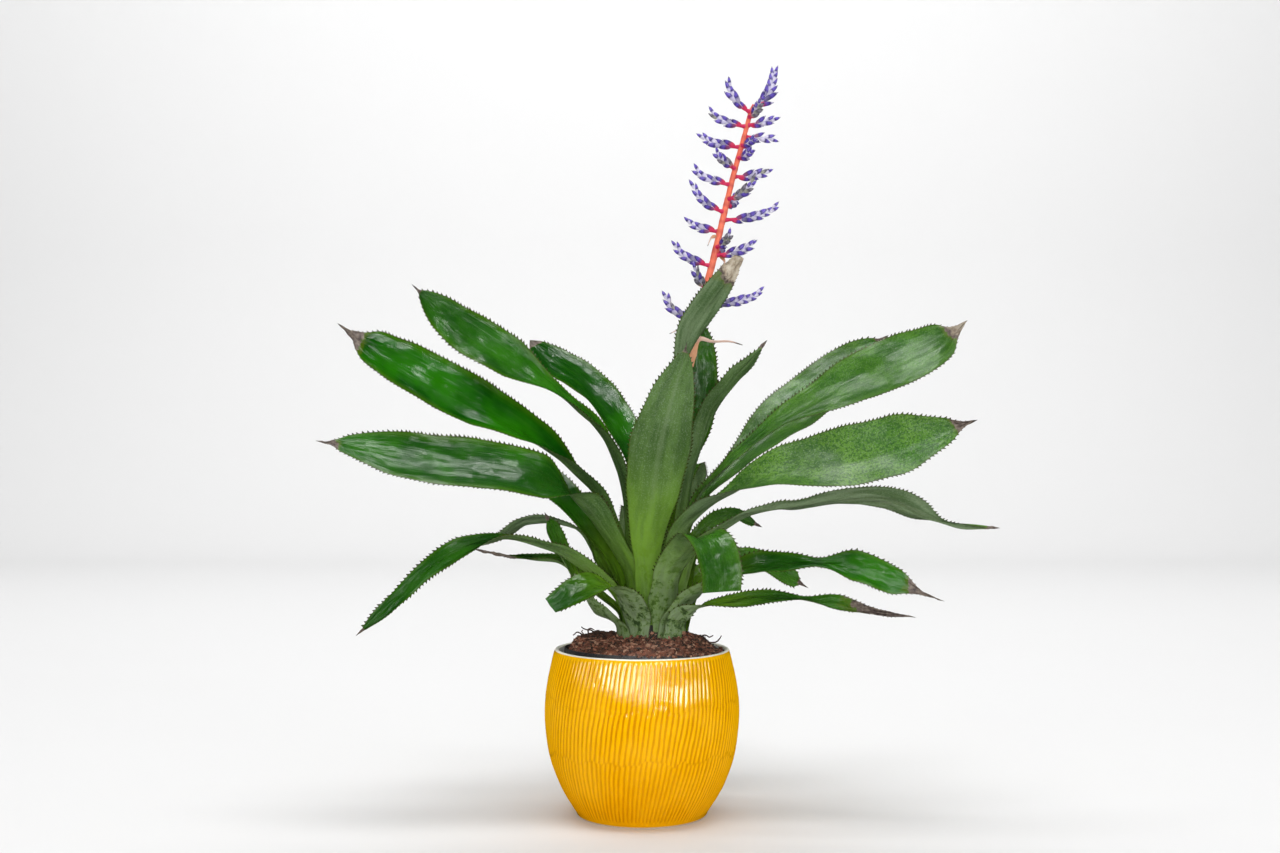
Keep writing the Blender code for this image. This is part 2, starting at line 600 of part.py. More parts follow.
def floret(middle, direction, side, length, radius, home, name):
    """A pointed three-sided bud, widest halfway up."""
    shape = bmesh.new()
    across = direction.cross(side).normalized()
    side = across.cross(direction).normalized()
    ring = []
    for index in range(FLORET_SIDES):
        turn = math.tau * (index + 0.25) / FLORET_SIDES
        spoke = side * math.cos(turn) + across * math.sin(turn)
        ring.append(shape.verts.new(middle + direction * length * 0.42 + radius * spoke))
    low = shape.verts.new(middle)
    high = shape.verts.new(middle + direction * length)
    for index in range(FLORET_SIDES):
        one, two = ring[index], ring[(index + 1) % FLORET_SIDES]
        shape.faces.new((low, two, one))
        shape.faces.new((one, two, high))
    bmesh.ops.recalc_face_normals(shape, faces=shape.faces)
    mesh = bpy.data.meshes.new(name)
    shape.to_mesh(mesh)
    shape.free()
    item = bpy.data.objects.new(name, mesh)
    home.objects.link(item)
    return item


def on_line(points, share):
    """A place on a row of evenly spaced points."""
    position = share * (len(points) - 1)
    index = min(int(position), len(points) - 2)
    return points[index].lerp(points[index + 1], position - index)


def branch_points(height, tip):
    """Stalk of a flower branch: out from the main stalk, then bending up to its tip."""
    centre, radius = scape_place(height * MM)
    tip = Vector(tip) * MM
    level = Vector((tip.x - centre.x, tip.y - centre.y, 0.0))
    outward = level.normalized()
    start = centre + outward * (radius + GAP + STALK_RADIUS * 0.55)
    start.z += 0.0002
    reach = level.length
    rise = tip.z - start.z
    one = start + outward * reach * 0.33 + Vector((0, 0, rise * 0.18))
    two = start + outward * reach * 0.68 + Vector((0, 0, rise * 0.50))
    end = tip - (tip - two).normalized() * FLORET_LENGTH * 0.75
    return [start, one, two, end]


def build_branch(name, height, tip, look, home, spare):
    """One flower branch: a thin stalk with two rows of pointed florets, joined in one solid."""
    points, length = path_samples(branch_points(height, tip), 5)
    parts = bpy.data.collections.new(name + "_florets")
    spare.children.link(parts)
    radii = [STALK_RADIUS * (1.0 - 0.25 * index / 4) for index in range(5)]
    stalk_mesh = tube_object(name + "_stalk", points, radii, 0, spare)
    stalk = bpy.data.objects.new(name + "_stalk", stalk_mesh)
    spare.objects.link(stalk)
    count = max(3, int(length / FLORET_PITCH))
    spots = [on_line(points, index / count) for index in range(count + 1)]
    bare = 1 if length < 0.03 else max(1, int(count * 0.28))
    for index in range(bare, count + 1):
        along = (spots[min(index + 1, count)] - spots[max(index - 1, 0)]).normalized()
        across = along.cross(Vector((0.15, 1.0, 0.1))).normalized()
        hand = 1 if index % 2 else -1
        lean = 0.0 if index == count else 0.48
        direction = (along + across * hand * lean + Vector((0, -0.12 * hand, 0.1))).normalized()
        size = 1.0 - 0.25 * index / count
        root = spots[index] - direction * FLORET_ROOT
        floret(root, direction, across, FLORET_LENGTH * size, FLORET_RADIUS * size, parts,
               name + "_floret")
    union = stalk.modifiers.new("Florets", "BOOLEAN")
    union.operation = "UNION"
    union.operand_type = "COLLECTION"
    union.collection = parts
    union.solver = "EXACT"
    mesh = evaluated_mesh(stalk)
    for item in list(parts.objects):
        bpy.data.objects.remove(item)
    bpy.data.collections.remove(parts)
    bpy.data.objects.remove(stalk)
    weld(mesh)
    return place(name, mesh, look, home, 40)


def build_branches(home, spare):
    look = material("flower_violet", (0.20, 0.13, 0.52), 0.5)
    for name, height, tip in BRANCHES:
        build_branch(name, height, tip, look, home, spare)


def build_bracts(home, spare):
    look = material("dry_bract", (0.62, 0.33, 0.13), 0.8)
    for name, half, height, table in BRACTS:
        own = [Vector(row) * MM for row in table]
        centre, radius = scape_place(height * MM)
        outward = Vector((own[0].x - centre.x, own[0].y, 0.0)).normalized()
        root = centre + outward * (radius + BRACT_SEAT)
        points, _ = path_samples([root] + own, 5)
        shape = bmesh.new()
        rows = []
        for index, middle in enumerate(points):
            along = (points[min(index + 1, 4)] - points[max(index - 1, 0)]).normalized()
            side = along.cross(Vector((0.2, 1.0, 0.1))).normalized()
            width = half * MM * (0.25, 0.8, 1.0, 0.75, 0.15)[index]
            lift = Vector((0.0, -0.0012 * (1 if index % 2 else 0.3), 0.0))
            rows.append([shape.verts.new(middle + side * width * step + (lift if step == 0 else Vector()))
                         for step in (-1, 0, 1)])
        for here, there in zip(rows, rows[1:]):
            for column in range(2):
                shape.faces.new((here[column], here[column + 1], there[column + 1]))
                shape.faces.new((here[column], there[column + 1], there[column]))
        mesh = bpy.data.meshes.new(name)
        shape.to_mesh(mesh)
        shape.free()
        place(name, thickened(mesh, name, LEAF_THICKNESS, spare), look, home, 60)


def main():
    empty_scene()
    scene = bpy.context.scene
    plant = bpy.data.collections.new("potted_aechmea")
    scene.collection.children.link(plant)
    spare = bpy.data.collections.new("guides")
    scene.collection.children.link(spare)
    build_pot(plant, spare)
    build_liner(plant, spare)
    build_soil(plant, spare)
    build_stem(plant, spare)
    build_scape(plant)
    build_leaves(plant, spare)
    build_branches(plant, spare)
    build_bracts(plant, spare)
    scene.collection.children.unlink(spare)
    bpy.data.collections.remove(spare)


main()
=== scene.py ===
"""Potted aechmea: a bromeliad in flower, in a plastic grower pot that stands in a ribbed, glazed
ceramic pot.

Metres, +Z up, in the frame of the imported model. -Y is the plant's front. Tables of places are in
millimetres.
"""
import math
import random

import bpy
import numpy as np
from bpy.props import FloatProperty, FloatVectorProperty, IntProperty, PointerProperty
from mathutils import Matrix, Vector, noise


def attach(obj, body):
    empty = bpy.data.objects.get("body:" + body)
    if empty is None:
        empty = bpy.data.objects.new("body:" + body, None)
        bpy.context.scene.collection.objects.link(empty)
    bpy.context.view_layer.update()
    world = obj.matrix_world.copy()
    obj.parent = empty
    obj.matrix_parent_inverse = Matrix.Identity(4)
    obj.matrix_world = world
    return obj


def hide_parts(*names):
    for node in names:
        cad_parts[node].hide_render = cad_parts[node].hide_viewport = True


bl_info = {
    "name": "Potted aechmea",
    "version": (1, 0, 0),
    "blender": (4, 5, 0),
    "location": "3D View > Sidebar > Aechmea",
    "description": "Builds a flowering bromeliad in a glazed pot, piece by piece",
    "category": "Object",
}

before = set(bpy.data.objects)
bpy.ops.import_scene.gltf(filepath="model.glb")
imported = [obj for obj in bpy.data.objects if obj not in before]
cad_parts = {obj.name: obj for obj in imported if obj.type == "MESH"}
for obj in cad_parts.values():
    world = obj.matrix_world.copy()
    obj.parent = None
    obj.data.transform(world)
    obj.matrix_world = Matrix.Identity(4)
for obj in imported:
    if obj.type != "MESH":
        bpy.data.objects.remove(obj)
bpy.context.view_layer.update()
MM = 0.001

# Ceramic pot: its profiles are rows of radius and height (mm)
POT_HEIGHT = 0.141
POT_MOUTH_RADIUS = 0.0754
POT_GIRTH = 0.080
POT_WALL = 0.0045
POT_FLOOR = 0.006
POT_PROFILE = (
    (75.4, 139.8), (76.6, 134.5), (80.8, 116.0), (83.2, 97.0), (82.9, 75.0),
    (79.4, 50.0), (71.5, 28.0), (65.6, 16.8), (60.2, 8.2), (57.4, 3.6), (56.2, 1.0), (55.4, 0.0),
)
POT_INSIDE = (
    (51.5, 6.0), (60.0, 24.0), (68.5, 47.0), (77.0, 70.0), (77.0, 100.0), (74.6, 120.0),
    (72.2, 134.0), (71.6, 139.6),
)
POT_ROWS = 84
POT_INNER_ROWS = 14
POT_FLOOR_RING = 0.024
POT_FOOT_RING = 0.030
LIP_BEVEL = 0.0012
LIP_DROP = 0.0005
LIP_DEPTH = 0.0013
LIP_FADE = 0.0009

# Combed ribs of the wall, and its tiers: lowest height (mm), lean (degrees), shift of the ribs
RIB_LOW = 0.0028
RIB_HIGH = 0.1386
RIB_CELLS = 7
RIB_MEAN = 0.55
RIB_ROUNDNESS = 0.85
RIB_FADE = 0.004
RIB_RAGGED = 0.0008
WALL_UNEVEN = 0.0003
COMB_TIERS = ((0.0, 8.0, 0.0), (57.0, 8.5, 0.48), (101.0, 6.0, 0.0))
TIER_RAGGED = 0.0062
TIER_FADE = 0.0016
TIER_DIP = 0.0011
TIER_DIP_DEPTH = 0.38

# Grower pot
LINER_TOP_RADIUS = 0.067
LINER_FOOT_RADIUS = 0.0475
LINER_TOP = 0.1395
LINER_WALL = 0.0012
LINER_BAND = 0.0085
LINER_STEP = 0.0015
LINER_SIDES = 128
LINER_TILT = 0.0036
LINER_HIGH_SIDE = math.radians(232)
GAP = 0.0003

# Soil: radius and height of its top (mm), its loose crumbs, and those that spill over the rim
SOIL_PROFILE = (
    (0.0, 149.2), (24.0, 149.3), (33.0, 148.2), (46.0, 148.5), (54.0, 146.9), (60.0, 143.4),
    (63.5, 139.6),
)
SOIL_RADIUS = 0.0635
SOIL_SHOULDER = 0.128
SOIL_FOOT = 0.0085
SOIL_LUMPS = 0.0022
SOIL_GRAIN = 0.0012
SOIL_HEAP = 0.0030
SOIL_RINGS = 46
SOIL_SIDES = 150
CRUMB_REACH = 0.0638
CRUMB_FACES = ((0, 1, 3, 2), (4, 6, 7, 5), (0, 4, 5, 1), (2, 3, 7, 6), (0, 2, 6, 4), (1, 5, 7, 3))
COLLAR_RADIUS = 0.0235
COLLAR_WIDTH = 0.0165
COLLAR_RISE = 0.0105
DARK_SHARE = 0.30
SPILL_REACH = 0.0705
SPILL_SIDE = math.radians(-38)
SPILL_SPREAD = math.radians(31)
ROOT_RADIUS = 0.00085
ROOT_ROWS = 22
ROOT_SIDES = 6
ROOT_WANDER = 0.0011
ROOT_SHADE = 0.12

# Crown: the sheaths nest round a short stem
CROWN_X = 0.010
SHEATH_RANKS = 13
SHEATH_CORE = 0.00825
SHEATH_STEP = 0.00175
SHEATH_FLARE = 0.12
SHEATH_BASE = 0.1500
SHEATH_RISE = 0.0028

# How far the pale green and the aged skin run up a sheath
PALE_FROM = 0.022
PALE_RUN = 0.095
AGED_FROM = 0.030
AGED_RUN = 0.075

# Leaves: the curl is in degrees, above the sheath, then towards the tip
LEAF_ROWS = 104
LEAF_CELLS = 16
LEAF_CURL = (42, 32, 20, 14)
TIP_CROWDING = 1.45
WIDTH_STRAY = 0.035
DRY_WIDTH_STRAY = 0.22
EDGE_RIPPLE = 0.0012
BROAD_RIPPLE = 0.0024
DRY_RIPPLE = 0.0022
HAIR_LENGTH = 0.0055
DRY_SLANT = -0.22
FOOT_ROWS = 3
FOOT_FRINGE = 0.0038
FOOT_SPAN = 0.030
WIDTH_ROUNDING = 0.026
MARGIN_THINNING = 0.62
SPINE_SINK = 0.00025
SPINE_HALF = 0.00026
SPINE_SIDES = ((0, 1), (1, 2), (2, 3), (3, 0))
# Marks of the point that closes a tip
TIP_MARKS = {"along": 1.0, "across": 0.0, "upper": 1.0, "dry": 1.0, "sheath": 0.0, "aged": 0.0,
             "spine": 1.0}

# Flower stalk: height and place to the right (mm); share of its length and radius
SCAPE_PATH = (
    (185.6, 10), (220, 12), (251, 16), (304, 26), (356, 36), (399, 44), (444, 53), (477, 62),
    (507, 69), (549, 79), (585, 89), (615, 97),
)
SCAPE_RADII = ((0.0, 0.0034), (0.6, 0.0031), (1.0, 0.0018))
SCAPE_ROWS = 150
SCAPE_SIDES = 18
SCAPE_END = 0.007
JOINT_REACH = 0.0045
JOINT_SWELL = 0.10
JOINT_RED_REACH = 0.0030
JOINT_REDNESS = 0.55

# Flower branches: a stalk bends at shares of its way out and of its way up. A floret's rings are
# at a share of its length and have a share of its width
STALK_RADIUS = 0.0012
STALK_SINK = 0.0004
STALK_ROWS = 24
STALK_SIDES = 8
STALK_CRIMSON = 0.24
STALK_BENDS = ((0.33, 0.12), (0.69, 0.42))
TOP_BRANCH = "flower_01_top"
TOP_SPREAD = 1.35
WITHERED_SHARE = 0.05
WITHERED_FRONT = 0.45
FLORET_RINGS = (
    (0.0, 0.40), (0.10, 0.78), (0.24, 0.97), (0.40, 1.0), (0.55, 0.96), (0.68, 0.82),
    (0.79, 0.60), (0.88, 0.36), (0.95, 0.17), (1.0, 0.02),
)
FLORET_SIDES = 8
FLORET_BEND = 0.13
FLORET_FLATNESS = 0.78
FLORET_KEEL = 0.30
FLORET_LEAN = 0.16
FLORET_STRAY = 0.14
FLORET_SINK = 0.0018
FLORET_SHRINK = 0.42

# Dry bracts: share of the length and of the width
BRACT_WIDTHS = (
    (0, 0.25), (0.12, 0.75), (0.28, 1.0), (0.40, 0.70), (0.50, 0.48), (0.62, 0.26),
    (0.88, 0.17), (1.0, 0.05),
)
BRACT_ROWS = 28
BRACT_CELLS = 8
BRACT_HALF = 0.00016
BRACT_HOLLOW = 0.35
BRACT_CREASE = 0.00035
BRACT_STRAY = 0.12

# Colours that the finishes mix in
AMBER_LIGHT = (0.97, 0.52, 0.002)
AMBER_SPECK = (0.42, 0.14, 0.005)
CLAY_DARK = (0.50, 0.40, 0.29)
CLAY_LIGHT = (0.66, 0.56, 0.43)
DUST = (0.075, 0.074, 0.075)
GRIT = (0.16, 0.13, 0.11)
BARK_RED = (0.35, 0.128, 0.072)
BARK_SPECK = (0.30, 0.19, 0.13)
PEAT_DAMP = (0.035, 0.018, 0.012)
STEM_SKIN = (0.020, 0.022, 0.009)
STEM_RING = (0.014, 0.010, 0.007)
STEM_SPECK = (0.06, 0.04, 0.025)
UPPER_LINE = (0.030, 0.135, 0.006)
UPPER_MARGIN = (0.070, 0.165, 0.004)
UPPER_FILM = (0.100, 0.235, 0.022)
UPPER_PIT = (0.012, 0.070, 0.005)
UNDER_SCURF = (0.165, 0.230, 0.125)
UNDER_STREAK = (0.028, 0.075, 0.010)
UNDER_LINE = (0.115, 0.190, 0.065)
UNDER_PIT = (0.024, 0.062, 0.012)
UNDER_MIDDLE = (0.140, 0.205, 0.095)
SHEATH_BLOTCH = (0.020, 0.040, 0.015)
SHEATH_FADED = (0.185, 0.235, 0.150)
EDGE_GREEN = (0.060, 0.095, 0.008)
EDGE_RUST = (0.035, 0.024, 0.012)
LEAF_YELLOWED = (0.125, 0.155, 0.016)
HUSK_PALE = (0.30, 0.25, 0.195)
PAPER_DARK = (0.22, 0.165, 0.115)
PAPER_MIDDLE = (0.44, 0.37, 0.28)
PAPER_PALE = (0.60, 0.54, 0.44)
SPINE = (0.034, 0.030, 0.011)
STALK_LIGHT = (0.95, 0.285, 0.15)
STALK_LINE = (0.95, 0.33, 0.22)
STALK_JOINT = (0.42, 0.03, 0.045)
STALK_SPECK = (0.55, 0.07, 0.06)
FOOT_CRIMSON = (0.64, 0.045, 0.12)
PETAL_PALE = (0.66, 0.63, 0.75)
PETAL_SOFT = (0.50, 0.46, 0.66)
PETAL_DEEP = (0.045, 0.030, 0.18)
PETAL_CLEAR = (0.130, 0.080, 0.48)
PETAL_RIM = (0.52, 0.48, 0.64)
PETAL_END = (0.05, 0.04, 0.11)
PETAL_LINE = (0.50, 0.45, 0.78)
PETAL_CLOUD = (0.26, 0.20, 0.60)
PETAL_LOW = (0.10, 0.07, 0.25)
WITHERED_RAMP = (
    (0.30, (0.34, 0.34, 0.29)), (0.55, (0.090, 0.085, 0.120)), (0.80, (0.27, 0.25, 0.30)),
    (0.92, (0.055, 0.050, 0.060)),
)
BRACT_LIGHT = (0.74, 0.44, 0.27)
BRACT_LINE = (0.38, 0.15, 0.075)
BRACT_END = (0.10, 0.075, 0.065)
FLOOR_CLOUD = (0.79, 0.79, 0.80)

# Camera: worked out from the ellipses of the pot's rim and foot
CAMERA_PLACE = (-0.0017, -1.216, 0.297)
CAMERA_PITCH = math.radians(91.68)
CAMERA_LENS = 39.375
CAMERA_SENSOR = 36.0

# Floor that sweeps up into a wall
FLOOR_FRONT = -4.0
FLOOR_BACK = 3.2
FLOOR_BEND = 1.2
FLOOR_HALF = 6.0
WALL_TOP = 4.5
FLOOR_CELLS = 24
FLOOR_STEPS = 20

# Panels above that show only in the leaves' gloss: places in metres
ROOF_HEIGHT = 2.35
ROOF_PANEL_SIZE = (0.30, 0.30)
ROOF_PANELS = (
    (-0.65, -0.90), (-0.30, -0.45), (0.05, -0.80), (0.30, -0.22), (0.56, -0.50), (0.84, -0.78),
    (-0.65, 0.05),
)
# Panels in front that show only in the gloss: name, x, y, width, share of the brightness
SHINE_PANELS = (
    ("front", 0.32, -2.58, 1.0, 0.85), ("right", 1.45, -2.16, 0.9, 0.50),
    ("left", -1.66, -2.0, 0.6, 0.36),
)
SHINE_HEIGHT = 0.68
SHINE_TALL = 0.46
SHINE_AIM = (0.0, 0.0, 0.30)
# Lights that light surfaces only: name, place, aim, size, setting of the brightness, share of it
PLANT_MIDDLE = (0.0, 0.0, 0.20)
SOFT_LIGHTS = (
    ("middle_window", (0.05, -2.60, 0.60), PLANT_MIDDLE, (1.5, 0.45), "window", 1.3),
    ("left_window", (-1.95, -1.75, 0.58), PLANT_MIDDLE, (0.9, 0.45), "window", 0.60),
    ("right_window", (1.95, -1.75, 0.58), PLANT_MIDDLE, (0.9, 0.45), "window", 0.75),
    ("roof_light", (0.05, -0.60, ROOF_HEIGHT), (0.05, -0.60, 0.0), (1.2, 0.6), "ceiling", 1.0),
    ("wall_light", (0.0, 0.9, 3.9), (0.0, 4.4, 1.0), (6.0, 1.0), "wall", 1.0),
)


class Leaf:
    """One leaf. Lengths are in mm, angles in degrees, and a share is of the leaf's length.

    rank: place in the crown, 13 is outermost
    half_width: of the blade at its widest
    points: places that its middle runs through
    faces: rows of a share and the direction in which the upper face looks there
    cut: the end is cut off straight
    neck: half width above the sheath
    wrap: half angle that the sheath takes of the crown
    taper: shares of the width near the tip and at it
    dry, shrink, bend, turn, bleach: length of the dry tip, the share of the width that it loses,
        how far it bends and turns, how pale it is
    scurf, age: how scurfy the upper face is and how aged the sheath is
    end: half width at the tip
    waists: rows of a share, the share of the width that is lost there, and the spread
    foot: share of the sheath's width that is left at the soil
    lime: how much further than usual the pale green runs up
    """

    def __init__(self, name, rank, half_width, points, faces, cut=False, neck=12.0, wrap=50,
                 taper=(0.95, 0.66), dry=6, scurf=0.3, age=0.2, shrink=0.55, bend=0.0, turn=0.0,
                 end=0.7, waists=(), bleach=0.0, foot=0.88, lime=0.0):
        self.name = name
        self.rank = rank
        self.half_width = half_width
        self.points = points
        self.faces = faces
        self.cut = cut
        self.neck = neck
        self.wrap = math.radians(wrap)
        self.taper = taper
        self.dry = dry * MM
        self.scurf = scurf
        self.age = age
        self.shrink = shrink
        self.bend = bend * MM
        self.turn = math.radians(turn)
        self.end = end
        self.waists = waists
        self.bleach = bleach
        self.foot = foot
        self.lime = lime * MM


TO_CAMERA = (0.05, -0.80, 0.60)
UP = (0.0, -0.15, 1.0)

